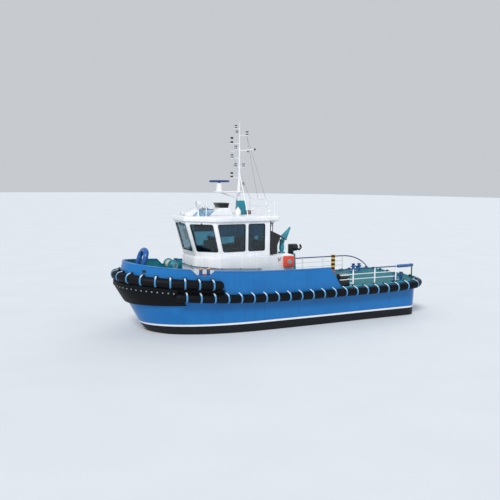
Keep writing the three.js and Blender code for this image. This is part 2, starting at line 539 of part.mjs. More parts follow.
// Aft of the wheelhouse on the trunk top: air intake, ladder, fire monitor
const onTrunk = TRUNK.top + GAP;
const intakeSide = [[HOUSE.aft - GAP, onTrunk], [HOUSE.aft - GAP, 4800], [-50, 4420], [150, 3950], [150, onTrunk]];
addPiece('air_intake', outlineXZ(intakeSide, [500, 1150]), black);
const LADDER = { x: 690, y: [1290, 1570], top: 5150 };
const ladderSide = (y) => pipe([[LADDER.x, y, onTrunk], [LADDER.x, y, LADDER.top - 60],
  [HOUSE.aft - GAP, y, LADDER.top - 60]], 18, 6);
const rungs = [0, 1, 2, 3, 4].map((i) => rod([LADDER.x, LADDER.y[0], 3780 + i * 290],
  [LADDER.x, LADDER.y[1], 3780 + i * 290], 12, { sides: 6 }));
addPiece('ladder', join(...LADDER.y.map(ladderSide), ...rungs), steel);

const MONITOR = { x: -230, y: 900, ring: 3700, pivot: 4120, cheek: 105, barrel: 60, flare: 150, cone: 180, length: 830,
  elevation: 55 };
addPiece('monitor_base', join(
  rod([MONITOR.x, MONITOR.y, onTrunk], [MONITOR.x, MONITOR.y, onTrunk + 50], 175, { sides: 16 }),
  rod([MONITOR.x, MONITOR.y, onTrunk], [MONITOR.x, MONITOR.y, MONITOR.ring], 100, { sides: 16 })), gearTeal);
const monitorCheek = (side) => block([MONITOR.x - 60, MONITOR.x + 60],
  [MONITOR.y + side * MONITOR.cheek - 15, MONITOR.y + side * MONITOR.cheek + 15], [3850, MONITOR.pivot + 70]);
const trunnion = (radius, half, sides) => rod([MONITOR.x, MONITOR.y - half, MONITOR.pivot],
  [MONITOR.x, MONITOR.y + half, MONITOR.pivot], radius, { sides });
addPiece('monitor_body', join(
  rod([MONITOR.x, MONITOR.y, MONITOR.ring + GAP], [MONITOR.x, MONITOR.y, 3890], 130, { sides: 16 }),
  monitorCheek(-1), monitorCheek(1)).subtract(trunnion(bore(30, 16), 300, 16)), gearTeal);
const aim = THREE.MathUtils.degToRad(MONITOR.elevation);
const alongBarrel = (distance) => [MONITOR.x - Math.cos(aim) * distance, MONITOR.y,
  MONITOR.pivot + Math.sin(aim) * distance];
addPiece('monitor_barrel', join(
  rod(alongBarrel(-110), alongBarrel(MONITOR.flare + 50), MONITOR.barrel, { sides: 14 }),
  rod(alongBarrel(MONITOR.flare), alongBarrel(MONITOR.length), MONITOR.cone, { sides: 16, tip: 36 }),
  rod(alongBarrel(-110), alongBarrel(110), 82, { sides: 14 }),
  trunnion(30, 140, 16)), gearTeal);

// Towing hook: a post behind the trunk, and a hook that swings on its pin
const TOW = { x: -1310, postTop: 3340, pin: 45, swing: 3650 };
addPiece('tow_post', seated(join(
  outlineXZ([[TOW.x - 260, DECK.height], [TOW.x + 420, DECK.height], [TOW.x + 200, TOW.postTop],
    [TOW.x - 160, TOW.postTop]], [-200, 200]),
  rod([TOW.x, 0, TOW.postTop - 50], [TOW.x, 0, TOW.swing + 190], TOW.pin, { sides: 24 }))), gearTeal);
const hookHole = rod([TOW.x, 0, TOW.postTop - 50], [TOW.x, 0, TOW.swing + 260], bore(TOW.pin, 24), { sides: 24 });
const hookBody = join(
  rod([TOW.x, 0, TOW.postTop + 5], [TOW.x, 0, TOW.swing + 170], 150, { sides: 18 }),
  rod([TOW.x, 0, TOW.swing], [TOW.x - 330, 0, TOW.swing], 190, { sides: 16 }),
  pipe([[TOW.x - 300, 0, TOW.swing - 60], [TOW.x - 520, 0, TOW.swing - 130], [TOW.x - 620, 0, TOW.swing - 20],
    [TOW.x - 560, 0, TOW.swing + 130]], 55, 10));
addPiece('tow_hook', hookBody.subtract(hookHole), black);

// Roof gear
const MAST_BASE = [[3600, onRoof], [2990, 5800], [2460, 5800], [2260, onRoof]];
const COWL = [[2920, 5790], [3050, 6035], [2430, 6035], [2500, 5790]];
addPiece('mast_base', join(
  outlineXZ(MAST_BASE, [-420, 420]),
  outlineXZ(COWL, [-300, 300])), white);
addPiece('skylight', outlineXZ([[4400, onRoof], [4400, 5540], [4260, 5720], [3800, 5760], [3780, onRoof]], [-400, 420]),
  paleBlue);
const footBox = { x: [MAST.x - 290, MAST.x + 90], half: 190, top: 6130 };
addPiece('mast_foot_box', block(footBox.x, [-footBox.half, footBox.half], [onRoof, footBox.top]), gearTeal);
addPiece('battery_box', block([980, 1420], [-620, -160], [onRoof, 5620]), black);

const mastPole = join(
  rod([MAST.x, 0, footBox.top + GAP], [MAST.x, 0, MAST.head], MAST.radius, { sides: 12, tip: 38 }),
  rod([MAST.x, 0, MAST.head - 50], [MAST.x, 0, MAST.tip], 26, { sides: 8, tip: 12 }));
const platform = block([MAST.x - 60, RADAR.x + 190], [-220, 220], [RADAR.platform - 45, RADAR.platform]);
const radarStrut = (y) => rod([RADAR.x, y, RADAR.platform - 35], [MAST.x, 0, 6230], 24, { sides: 8 });
const yard = rod([MAST.x, -950, MAST.cross - 40], [MAST.x, 1620, MAST.cross + 50], 28, { sides: 8 });
// Navigation lamps on brackets. Columns: height, distance forward of the pole, distance to port, lamp height
const LAMPS = [
  [6880, -190, 60, 150], [7280, 420, 0, 260], [7820, 220, 0, 150], [7820, -200, 60, 150], [8250, 420, 0, 160],
  [8690, 210, 0, 150], [8960, 430, 0, 300], [9380, -380, 60, 180], [9440, 160, 0, 140], [9700, 210, 0, 150],
];
const LAMP = { radius: 62, tray: 85, bracket: 16 };
const navigationLamps = LAMPS.map(([z, forward, port, height]) => join(
  rod([MAST.x, 0, z - 20], [MAST.x + forward, port, z - 20], LAMP.bracket, { sides: 6 }),
  rod([MAST.x + forward, port, z - 30], [MAST.x + forward, port, z], LAMP.tray, { sides: 8 }),
  rod([MAST.x + forward, port, z - 10], [MAST.x + forward, port, z + height], LAMP.radius, { sides: 8 })));
const mastFeet = [-1, 1].map((side) => rod([MAST.x, 0, 7600], [MAST.x - 150, side * 700, onRoof], 26, { sides: 8 }));
const mastClear = block([footBox.x[0] - 5, footBox.x[1] + 5], [-footBox.half - 5, footBox.half + 5],
  [onRoof - 20, footBox.top + GAP]);
addPiece('mast', join(mastPole, platform, radarStrut(150), radarStrut(-150), yard, ...navigationLamps, ...mastFeet)
  .subtract(mastClear).subtract(block([0, 4000], [-900, 900], [onRoof - 300, onRoof])), white);
const pedestalTop = RADAR.platform + 400;
addPiece('radar_pedestal', rod([RADAR.x, 0, RADAR.platform + GAP], [RADAR.x, 0, pedestalTop], 165,
  { sides: 16, tip: 130 }), white);
const scannerFoot = pedestalTop + GAP;
addPiece('radar_scanner', join(
  rod([RADAR.x, 0, scannerFoot], [RADAR.x, 0, scannerFoot + 50], 60, { sides: 12 }),
  block([RADAR.x - RADAR.length / 2, RADAR.x + RADAR.length / 2], [-55, 55], [scannerFoot + 40, scannerFoot + 150])),
navy);

const LIGHT = { x: 4250, y: 620, z: 6010 };
addPiece('searchlight_stand', join(
  rod([LIGHT.x, LIGHT.y, onRoof], [LIGHT.x, LIGHT.y, 5780], 35, { sides: 10 }),
  rod([LIGHT.x, LIGHT.y, onRoof], [LIGHT.x, LIGHT.y, onRoof + 25], 90, { sides: 12 })), white);
addPiece('searchlight', join(
  rod([LIGHT.x, LIGHT.y, 5780 + GAP], [LIGHT.x, LIGHT.y, LIGHT.z], 35, { sides: 10 }),
  rod([LIGHT.x - 110, LIGHT.y, LIGHT.z], [LIGHT.x + 110, LIGHT.y, LIGHT.z], 120, { sides: 18, tip: 170 })), white);
const ROOF_RAIL = { x: 450, half: 1300, top: 6180, mid: 5830 };
const roofPost = (y) => rod([ROOF_RAIL.x, y, onRoof], [ROOF_RAIL.x, y, ROOF_RAIL.top], 20, { sides: 8 });
const roofBar = (z) => rod([ROOF_RAIL.x, -ROOF_RAIL.half, z], [ROOF_RAIL.x, ROOF_RAIL.half, z], 20, { sides: 8 });
addPiece('roof_rail', join(...[-1300, -430, 430, 1300].map(roofPost), roofBar(ROOF_RAIL.top), roofBar(ROOF_RAIL.mid)),
  white);

// Under water: shafts with their brackets, propellers and rudders
const hubFront = SCREW.x + 160;
const shaft = rod([hubFront + 5, SCREW.y, SCREW.z], [-2600, SCREW.y, SCREW.z], 70, { sides: 12 });
const shaftPin = rod([hubFront + GAP, SCREW.y, SCREW.z], [hubFront + 100, SCREW.y, SCREW.z], 50, { sides: 12 });
const strut = outlineXZ([[hubFront + 60, SCREW.z], [hubFront + 300, SCREW.z], [hubFront + 420, -300],
  [hubFront + 160, -300]], [SCREW.y - 22, SCREW.y + 22]);
addPair('shaft_bracket', join(shaft, shaftPin, strut,
  rod([hubFront + 20, SCREW.y, SCREW.z], [hubFront + 330, SCREW.y, SCREW.z], 105, { sides: 12 }))
  .subtract(hullGrown), steel);

function blade(index) {
  const plate = new THREE.SphereGeometry(1, 10, 8).scale(26, 160, SCREW.bladeHalf);
  plate.rotateZ(THREE.MathUtils.degToRad(35)).translate(0, 0, SCREW.radius - SCREW.bladeHalf);
  plate.rotateX(2 * Math.PI * index / SCREW.blades + Math.PI / 4);
  return toSolid(plate.translate(SCREW.x, SCREW.y, SCREW.z));
}
const hub = join(
  rod([SCREW.x - 120, SCREW.y, SCREW.z], [hubFront, SCREW.y, SCREW.z], 100, { sides: 14 }),
  rod([SCREW.x - 120, SCREW.y, SCREW.z], [SCREW.x - 230, SCREW.y, SCREW.z], 100, { sides: 14, tip: 30 }));
addPair('propeller', join(hub, ...Array.from({ length: SCREW.blades }, (_, i) => blade(i))), bronze);

const halfChord = RUDDER.chord / 2;
const rudderPlan = [[RUDDER.x + halfChord * 0.6, 0], [RUDDER.x + halfChord * 0.35, RUDDER.thick / 2],
  [RUDDER.x - halfChord * 0.5, RUDDER.thick / 3], [RUDDER.x - halfChord * 1.4, 8], [RUDDER.x - halfChord * 1.4, -8],
  [RUDDER.x - halfChord * 0.5, -RUDDER.thick / 3], [RUDDER.x + halfChord * 0.35, -RUDDER.thick / 2]]
  .map(([x, y]) => [x, y + SCREW.y]);
addPair('rudder', join(
  outlineXY(rudderPlan, [RUDDER.bottom, RUDDER.top - 60]),
  rod([RUDDER.x, SCREW.y, RUDDER.bottom + 200], [RUDDER.x, SCREW.y, RUDDER.top - GAP], 42, { sides: 12 })), hullBlue);

export default tug;
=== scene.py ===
from math import acos, cos, hypot, pi, radians, sin

import bmesh
import bpy
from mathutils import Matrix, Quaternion, Vector


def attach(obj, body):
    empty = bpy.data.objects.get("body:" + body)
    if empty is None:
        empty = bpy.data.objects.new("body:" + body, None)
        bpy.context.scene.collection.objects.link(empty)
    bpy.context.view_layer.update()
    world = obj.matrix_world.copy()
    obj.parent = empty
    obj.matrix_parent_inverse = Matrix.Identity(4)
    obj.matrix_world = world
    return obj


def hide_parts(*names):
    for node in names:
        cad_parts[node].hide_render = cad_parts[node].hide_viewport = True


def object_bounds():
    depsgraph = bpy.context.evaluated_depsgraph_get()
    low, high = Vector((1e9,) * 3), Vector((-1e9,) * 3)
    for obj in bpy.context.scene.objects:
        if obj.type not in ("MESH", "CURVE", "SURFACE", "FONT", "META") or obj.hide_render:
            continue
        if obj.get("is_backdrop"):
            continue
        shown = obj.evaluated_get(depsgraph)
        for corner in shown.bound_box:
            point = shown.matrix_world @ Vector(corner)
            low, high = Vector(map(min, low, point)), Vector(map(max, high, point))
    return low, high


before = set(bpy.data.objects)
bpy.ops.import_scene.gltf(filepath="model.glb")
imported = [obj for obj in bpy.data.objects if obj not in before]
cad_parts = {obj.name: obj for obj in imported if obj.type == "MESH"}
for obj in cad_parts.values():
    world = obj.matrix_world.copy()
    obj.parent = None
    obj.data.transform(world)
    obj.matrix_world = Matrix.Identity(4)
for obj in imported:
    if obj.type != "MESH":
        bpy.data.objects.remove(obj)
cad_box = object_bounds()

# View and light
# The camera stands well off the port bow with its eye above the wheelhouse roof and a long lens.
# One broad high lamp from the port bow models the sides; a dim one opens the far side.
EYE = (18.889, 33.571, 7.986)
HEADING = radians(27.92)
DIP = radians(6.56)
TILT = radians(0.66)
LENS = 54.27

scene = bpy.context.scene
scene.view_settings.view_transform = "Standard"
look = Vector((-sin(HEADING) * cos(DIP), -cos(HEADING) * cos(DIP), -sin(DIP)))
camera_data = bpy.data.cameras.new("camera")
camera_data.lens = LENS
camera_data.clip_end = 400
camera = bpy.data.objects.new("camera", camera_data)
camera.rotation_mode = "QUATERNION"
camera.rotation_quaternion = look.to_track_quat("-Z", "Y") @ Quaternion((0, 0, 1), TILT)
camera.location = EYE
scene.collection.objects.link(camera)
scene.camera = camera


def add_lamp(name, direction, strength, softness, colour):
    data = bpy.data.lights.new(name, "SUN")
    data.energy = strength
    data.angle = radians(softness)
    data.color = colour
    lamp = bpy.data.objects.new(name, data)
    lamp.rotation_mode = "QUATERNION"
    lamp.rotation_quaternion = (-Vector(direction)).to_track_quat("-Z", "Y")
    scene.collection.objects.link(lamp)


add_lamp("key_lamp", (0.75, 0.8, 1.0), 2.2, 16, (1.0, 0.98, 0.95))
add_lamp("fill_lamp", (-0.9, -0.7, 0.6), 0.5, 40, (0.92, 0.96, 1.0))


def linear(hex_colour):
    """Turns an sRGB hex colour to the linear values that shaders use."""
    channels = [int(hex_colour[i:i + 2], 16) / 255 for i in (0, 2, 4)]
    return (*[c / 12.92 if c <= 0.04045 else ((c + 0.055) / 1.055) ** 2.4 for c in channels], 1.0)


def plug(tree, node, inputs):
    """Fills a node's inputs: a socket's name or number goes with a value or another node's output."""
    for where, value in dict(inputs).items():
        if isinstance(value, bpy.types.NodeSocket):
            tree.links.new(value, node.inputs[where])
        else:
            node.inputs[where].default_value = value


def add_node(tree, kind, output, inputs=(), **settings):
    """Adds a node with its settings and inputs. It gives the output asked for, or the node for None."""
    made = tree.nodes.new(kind)
    for name, value in settings.items():
        setattr(made, name, value)
    plug(tree, made, inputs)
    return made if output is None else made.outputs[output]


world = bpy.data.worlds.new("studio")
world.use_nodes = True
plug(world.node_tree, world.node_tree.nodes["Background"], {"Color": linear("e9edf2"), "Strength": 0.7})
scene.world = world


def new_finish(name):
    """A new material: returns it, its tree, its principled shader and the object coordinates."""
    finish = bpy.data.materials.new(name)
    finish.use_nodes = True
    tree = finish.node_tree
    return finish, tree, tree.nodes["Principled BSDF"], add_node(tree, "ShaderNodeTexCoord", "Object")


def patterned_finish(name, pattern, tones, shading=(), rough=None, relief=None, over=None):
    """A material that one pattern leads. A pattern is a texture, its inputs and, where it runs in streaks,
    its stretch. It moves between two tones, and between two roughnesses where rough gives them. Relief is a
    bump's strength and depth, on a pattern of its own or else on the leading one. Over them lies one more
    colour, where another pattern, or how far a face looks up, is in a range. Shading holds plain values for
    the shader."""
    finish, tree, shader, place = new_finish(name)

    def laid(kind, inputs, stretch=None, settings=()):
        at = place
        if stretch:
            at = add_node(tree, "ShaderNodeMapping", "Vector", {"Vector": place, "Scale": stretch})
        output = "Distance" if kind == "Voronoi" else "Fac"
        return add_node(tree, "ShaderNodeTex" + kind, output, {"Vector": at, **inputs}, **dict(settings))

    lead = laid(*pattern)
    tone = add_node(tree, "ShaderNodeMix", "Result", {
        "Factor": lead, "A": linear(tones[0]), "B": linear(tones[1])}, data_type="RGBA")
    if over:
        where, reach, colour = over
        if where:
            mask = laid(*where)
        else:
            facing = add_node(tree, "ShaderNodeNewGeometry", "Normal")
            mask = add_node(tree, "ShaderNodeSeparateXYZ", "Z", {"Vector": facing})
        share = add_node(tree, "ShaderNodeMapRange", "Result", {"Value": mask, **reach})
        tone = add_node(tree, "ShaderNodeMix", "Result", {
            "Factor": share, "A": tone, "B": linear(colour)}, data_type="RGBA")
    plug(tree, shader, {"Base Color": tone, **dict(shading)})
    if rough:
        dulling = add_node(tree, "ShaderNodeMapRange", "Result", {"Value": lead, **rough})
        plug(tree, shader, {"Roughness": dulling})
    if relief:
        strength, depth, *grain = relief
        height = laid(*grain) if grain else lead
        bumps = {"Height": height, "Strength": strength, "Distance": depth}
        plug(tree, shader, {"Normal": add_node(tree, "ShaderNodeBump", "Normal", bumps)})
    return finish


# Directions in the ship's frame
AHEAD, PORT, UP = (1, 0, 0), (0, 1, 0), (0, 0, 1)


def circle(middle, side, other, radius, count):
    """Points round a circle or an oval, from the end of one of its radii towards the other."""
    side, other = Vector(side) * radius, Vector(other) * radius
    turns = [2 * pi * k / count for k in range(count)]
    return [Vector(middle) + side * cos(turn) + other * sin(turn) for turn in turns]


# The floor is one round sheet of matt card at the waterline. The eye sees a pale ground with a faint mottle.
FLOOR = {"radius": 165, "sides": 120}
card = patterned_finish("pale_studio_card", ("Noise", {"Scale": 0.35}), ("d3d8de", "dadfe4"),
                        {"Roughness": 0.9})
floor_mesh = bpy.data.meshes.new("floor")
floor_mesh.from_pydata(circle((0, 0, 0), AHEAD, PORT, FLOOR["radius"], FLOOR["sides"]), [],
                       [list(range(FLOOR["sides"]))])
floor_mesh.materials.append(card)
floor = bpy.data.objects.new("floor", floor_mesh)
scene.collection.objects.link(floor)
floor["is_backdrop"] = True

# Hull shell
# The shell is welded steel plate rolled round the quarters and the stem, with two hard chines a side.
# It is sprayed blue above the boot stripe and black antifouling is rolled on below it.
DECK_SIDE = 1.8
FORE_SHEER = 0.5
AFT_SHEER = 0.16
SHEER_STARTS = (-1.0, -5.0)
DECK_EDGE = {"stern": -8.0, "quarter": 0.9, "half": 2.55, "shoulder": 2.5, "bow": 7.97, "power": 2.3}
CHINE = {"stern": -7.9, "quarter": 0.6, "half": 2.33, "shoulder": 0.9, "bow": 6.9, "power": 2.0}
CHINE_HEIGHTS = (-0.28, -0.9, 0.35)
BILGE = {"stern": -7.3, "quarter": 0.3, "half": 0.75, "shoulder": 0.0, "bow": 5.5, "power": 1.7}
BILGE_HEIGHTS = (-0.48, -1.6, -1.25)
CUT_UP = (-1.5, -5.5)
BOOT_STRIPE = (0.405, 0.495)


def deck_height(x):
    fore_from, aft_from = SHEER_STARTS
    fore = max(0.0, (x - fore_from) / (8.0 - fore_from))
    aft = max(0.0, (aft_from - x) / (aft_from - DECK_EDGE["stern"]))
    return DECK_SIDE + FORE_SHEER * fore ** 2 + AFT_SHEER * aft ** 2


def plan_point(outline, station):
    """Where a station meets an outline of the port half: x, y and the outward normal in plan."""
    kind, at = station
    stern, quarter, half = outline["stern"], outline["quarter"], outline["half"]
    shoulder, bow, power = outline["shoulder"], outline["bow"], outline["power"]
    if kind == "quarter":
        nx, ny = cos(at), sin(at)
        return stern + quarter + quarter * nx, half - quarter + quarter * ny, nx, ny
    if kind == "side":
        return stern + quarter + (shoulder - stern - quarter) * at, half, 0.0, 1.0
    y = half * max(0.0, 1 - at ** power) ** (1 / power)
    nx = at ** (power - 1) / (bow - shoulder)
    ny = (y / half) ** (power - 1) / half
    length = hypot(nx, ny)
    return shoulder + (bow - shoulder) * at, y, nx / length, ny / length


QUARTER_STEPS, SIDE_STEPS, BOW_STEPS = 12, 40, 48
hull_stations = [("quarter", pi - pi / 2 * i / QUARTER_STEPS) for i in range(QUARTER_STEPS + 1)]
hull_stations += [("side", i / SIDE_STEPS) for i in range(1, SIDE_STEPS + 1)]
hull_stations += [("bow", sin(pi / 2 * i / BOW_STEPS) ** (2 / DECK_EDGE["power"]))
                  for i in range(1, BOW_STEPS + 1)]


def level_height(heights, outline, x):
    aft, middle, fore = heights
    shoulder = outline["shoulder"]
    if x > shoulder:
        return middle + (fore - middle) * ((x - shoulder) / (outline["bow"] - shoulder)) ** 2
    share = min(1.0, max(0.0, (x - CUT_UP[0]) / (CUT_UP[1] - CUT_UP[0])))
    return middle + (aft - middle) * share * share * (3 - 2 * share)


def as_mesh(shell):
    """A finished skin as a mesh, its faces turned outwards."""
    bmesh.ops.recalc_face_normals(shell, faces=shell.faces)
    mesh = bpy.data.meshes.new("skin")
    shell.to_mesh(mesh)
    shell.free()
    return mesh


def mirrored_skin(rows):
    """A closed skin over rows of port points, lowest row first, mirrored to starboard."""
    shell = bmesh.new()
    port = [[shell.verts.new(point) for point in row] for row in rows]
    stbd = [[vert if vert.co.y < 1e-6 else shell.verts.new((vert.co.x, -vert.co.y, vert.co.z))
             for vert in row]
            for row in port]

    def face(*corners):
        ring = [corner for i, corner in enumerate(corners) if corner is not corners[i - 1]]
        if len(ring) > 2:
            shell.faces.new(ring)

    last = len(rows[0]) - 1
    for low, high in zip(range(len(rows) - 1), range(1, len(rows))):
        for side in (port, stbd):
            for i in range(last):
                face(side[low][i], side[low][i + 1], side[high][i + 1], side[high][i])
        face(port[low][0], port[high][0], stbd[high][0], stbd[low][0])
        if port[low][last] is not stbd[low][last]:
            face(port[low][last], port[high][last], stbd[high][last], stbd[low][last])
    for row in (0, -1):
        for i in range(last):
            face(port[row][i], port[row][i + 1], stbd[row][i + 1], stbd[row][i])
    return as_mesh(shell)


def add_piece(name, finish, shapes, stands_for=(), bevel=0.0, segments=2, angle=32, body="tug"):
    """Joins meshes into one piece with its finish, rounds its edges, and tells the frame where it belongs. A
    node's name in place of the meshes stands for a copy of that solid, which the piece then replaces."""
    if isinstance(shapes, str):
        shapes, stands_for = [carried(shapes)], [shapes]
    joined = bmesh.new()
    for shape in shapes:
        joined.from_mesh(shape)
        bpy.data.meshes.remove(shape)
    mesh = bpy.data.meshes.new(name)
    joined.to_mesh(mesh)
    joined.free()
    mesh.materials.append(finish)
    piece = bpy.data.objects.new(name, mesh)
    scene.collection.objects.link(piece)
    if bevel:
        rounding = piece.modifiers.new("rounded_edges", "BEVEL")
        rounding.width = bevel
        rounding.segments = segments
        rounding.limit_method = "ANGLE"
        rounding.angle_limit = radians(angle)
        rounding.miter_outer = "MITER_ARC"
        plain = bpy.data.meshes.new_from_object(piece.evaluated_get(bpy.context.evaluated_depsgraph_get()))
        piece.modifiers.clear()
        piece.data = plain
        plain.name = name
        bpy.data.meshes.remove(mesh)
    piece.data.polygons.foreach_set("use_smooth", [True] * len(piece.data.polygons))
    piece.data.set_sharp_from_angle(angle=radians(angle))
    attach(piece, body)
    if stands_for:
        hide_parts(*stands_for)
    return piece


def marine_enamel(name, colour, shade, gloss=0.3, peel=0.1):
    """Brushed and sprayed marine enamel on steel. The eye sees slow changes of tone where sun and salt have
    faded it, faint runs of grime, and a slightly uneven skin that breaks up its reflections."""
    finish, tree, shader, place = new_finish(name)
    fading = add_node(tree, "ShaderNodeTexNoise", "Fac", {
        "Vector": place, "Scale": 0.9, "Detail": 6, "Roughness": 0.6})
    runs = add_node(tree, "ShaderNodeMapping", "Vector", {"Vector": place, "Scale": (9, 9, 0.8)})
    streaks = add_node(tree, "ShaderNodeTexNoise", "Fac", {
        "Vector": runs, "Scale": 1.0, "Detail": 5, "Roughness": 0.65})
    mixed = add_node(tree, "ShaderNodeMath", "Value", {0: fading, 1: streaks}, operation="MULTIPLY")
    spread = add_node(tree, "ShaderNodeMapRange", "Result",
                      {"Value": mixed, "From Min": 0.12, "From Max": 0.42})
    tone = add_node(tree, "ShaderNodeMix", "Result", {
        "Factor": spread, "A": linear(shade), "B": linear(colour)}, data_type="RGBA")
    dulling = add_node(tree, "ShaderNodeMapRange", "Result", {
        "Value": streaks, "From Min": 0.3, "From Max": 0.7, "To Min": gloss + 0.12, "To Max": gloss})
    skin = add_node(tree, "ShaderNodeTexNoise", "Fac", {"Vector": place, "Scale": 60, "Detail": 2})
    relief = add_node(tree, "ShaderNodeBump", "Normal",
                      {"Height": skin, "Strength": peel, "Distance": 0.004})
    plug(tree, shader, {"Base Color": tone, "Roughness": dulling, "Normal": relief, "Coat Weight": 0.25,
                        "Coat Roughness": 0.12})
    return finish


FRAME_SPACING = 0.6


def hull_enamel():
    """Blue topside enamel, a masked white stripe and black antifouling on welded plate. The eye sees the
    three colours part in clean level lines, faint seams a frame apart, and plate that dishes a little
    between frames."""
    finish, tree, shader, place = new_finish("topside_enamel_on_welded_plate")
    height = add_node(tree, "ShaderNodeSeparateXYZ", "Z", {"Vector": place})
    along = height.node.outputs["X"]
    fading = add_node(tree, "ShaderNodeTexNoise", "Fac", {
        "Vector": place, "Scale": 0.7, "Detail": 7, "Roughness": 0.62})
    runs = add_node(tree, "ShaderNodeMapping", "Vector", {"Vector": place, "Scale": (7, 7, 0.5)})
    streaks = add_node(tree, "ShaderNodeTexNoise", "Fac", {
        "Vector": runs, "Scale": 1.0, "Detail": 6, "Roughness": 0.7})
    blue = add_node(tree, "ShaderNodeMix", "Result", {
        "Factor": fading, "A": linear("0c62a8"), "B": linear("1f7ec4")}, data_type="RGBA")
    rubbed = add_node(tree, "ShaderNodeMapRange", "Result", {
        "Value": streaks, "From Min": 0.52, "From Max": 0.8, "To Max": 0.35})
    worn_blue = add_node(tree, "ShaderNodeMix", "Result", {
        "Factor": rubbed, "A": blue, "B": linear("0a4a8a")}, data_type="RGBA")
    colour = add_node(tree, "ShaderNodeMix", "Result", {
        "Factor": streaks, "A": linear("03060b"), "B": linear("10171f")}, data_type="RGBA")
    for level, above in ((BOOT_STRIPE[0], linear("eef0f3")), (BOOT_STRIPE[1], worn_blue)):
        over = add_node(tree, "ShaderNodeMath", "Value", {0: height, 1: level}, operation="GREATER_THAN")
        colour = add_node(tree, "ShaderNodeMix", "Result", {
            "Factor": over, "A": colour, "B": above}, data_type="RGBA")
    topside = add_node(tree, "ShaderNodeMath", "Value", {0: height, 1: BOOT_STRIPE[0]},
                       operation="GREATER_THAN")
    dulling = add_node(tree, "ShaderNodeMapRange", "Result",
                       {"Value": topside, "To Min": 0.6, "To Max": 0.28})
    phase = add_node(tree, "ShaderNodeMath", "Value", {0: along, 1: 2 * pi / FRAME_SPACING},
                     operation="MULTIPLY")
    dishing = add_node(tree, "ShaderNodeMath", "Value", {0: phase}, operation="SINE")
    ripple = add_node(tree, "ShaderNodeMath", "Value", {0: dishing, 1: fading}, operation="MULTIPLY")
    plates = add_node(tree, "ShaderNodeBump", "Normal",
                      {"Height": ripple, "Strength": 0.12, "Distance": 0.012})
    skin = add_node(tree, "ShaderNodeTexNoise", "Fac", {"Vector": place, "Scale": 45, "Detail": 3})
    relief = add_node(tree, "ShaderNodeBump", "Normal", {
        "Height": skin, "Strength": 0.12, "Distance": 0.004, "Normal": plates})
    plug(tree, shader, {"Base Color": colour, "Roughness": dulling, "Normal": relief,
                        "Specular IOR Level": 0.28, "Coat Weight": 0.12, "Coat Roughness": 0.1})
    return finish


topside_enamel = hull_enamel()


def hull_row(outline, heights):
    row = []
    for station in hull_stations:
        x, y, _, _ = plan_point(outline, station)
        row.append((x, y, level_height(heights, outline, x) if heights else deck_height(x)))
    return row


STRAKES = 8
bilge_row = hull_row(BILGE, BILGE_HEIGHTS)
chine_row = hull_row(CHINE, CHINE_HEIGHTS)
deck_row = hull_row(DECK_EDGE, None)
topside_rows = [[tuple(Vector(a).lerp(b, k / STRAKES)) for a, b in zip(chine_row, deck_row)]
                for k in range(STRAKES + 1)]
add_piece("hull_shell", topside_enamel, [mirrored_skin([bilge_row, *topside_rows])], ["hull"],
          bevel=0.012, angle=24)


def carried(node):
    """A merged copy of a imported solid's mesh, with its flat faces whole."""
    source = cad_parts[node].data
    copy = bmesh.new()
    copy.from_mesh(source)
    bmesh.ops.remove_doubles(copy, verts=copy.verts, dist=2e-4)
    bmesh.ops.dissolve_limit(copy, angle_limit=radians(0.6), verts=copy.verts, edges=copy.edges)
    mesh = bpy.data.meshes.new(node + "_copy")
    copy.to_mesh(mesh)
    copy.free()
    return mesh


add_piece("skeg_plate", topside_enamel, "skeg", bevel=0.04, segments=4)

# Main deck
# The deck is steel plate under a thick rolled coat with grit in it, so that wet boots hold.
# A welded half-round bar stops water and loose gear at its edge behind the bulwark.

# Rolled anti-slip deck paint. The eye sees a dull green-blue field with a sandy grain, darker and smoother
# where feet have polished it and paler where salt has dried. The real grit is under 1 mm; it is drawn at
# about 12 mm so that it shows.
deck_paint = patterned_finish(
    "gritted_deck_paint", ("Noise", {"Scale": 1.3, "Detail": 8, "Roughness": 0.68}), ("034c5a", "0c7f8a"),
    {"Specular IOR Level": 0.15}, rough={"To Min": 0.45, "To Max": 0.8},
    relief=(0.5, 0.006, "Noise", {"Scale": 80, "Detail": 2, "Roughness": 0.8}),
    over=(("Noise", {"Scale": 5.0, "Detail": 8, "Roughness": 0.75}),
          {"From Min": 0.58, "From Max": 0.82, "To Max": 0.35}, "5fb0b4"))
DECK_COAT = 0.004
DECK_MARGIN = 0.012


def inset_row(inset, lift):
    row = []
    for station in hull_stations:
        x, y, nx, ny = plan_point(DECK_EDGE, station)
        row.append((x - nx * inset, max(0.0, y - ny * inset), deck_height(x) + lift))
    return row


add_piece("main_deck", deck_paint,
          [mirrored_skin([inset_row(DECK_MARGIN, 0.0), inset_row(DECK_MARGIN, DECK_COAT)])])


def edge_points(low_x, high_x, spacing, corners=()):
    """Points (x, y, nx, ny) along the port deck edge between two places, with some exact places added."""
    places = {low_x, high_x, *corners}
    count = int((high_x - low_x) / spacing)
    places.update(low_x + (high_x - low_x) * i / count for i in range(count))
    shoulder, reach = DECK_EDGE["shoulder"], DECK_EDGE["bow"] - DECK_EDGE["shoulder"]
    side_from = DECK_EDGE["stern"] + DECK_EDGE["quarter"]
    turned = [shoulder + reach * at for kind, at in hull_stations if kind == "bow"]
    turned += [side_from + DECK_EDGE["quarter"] * cos(at) for kind, at in hull_stations if kind == "quarter"]
    places.update(x for x in turned if low_x < x < high_x)
    points = []
    for x in sorted(places):
        if x >= shoulder:
            station = ("bow", min(1.0, (x - shoulder) / reach))
        elif x >= side_from:
            station = ("side", (x - side_from) / (shoulder - side_from))
        else:
            station = ("quarter", acos(max(-1.0, (x - side_from) / DECK_EDGE["quarter"])))
        points.append(plan_point(DECK_EDGE, station))
    return points


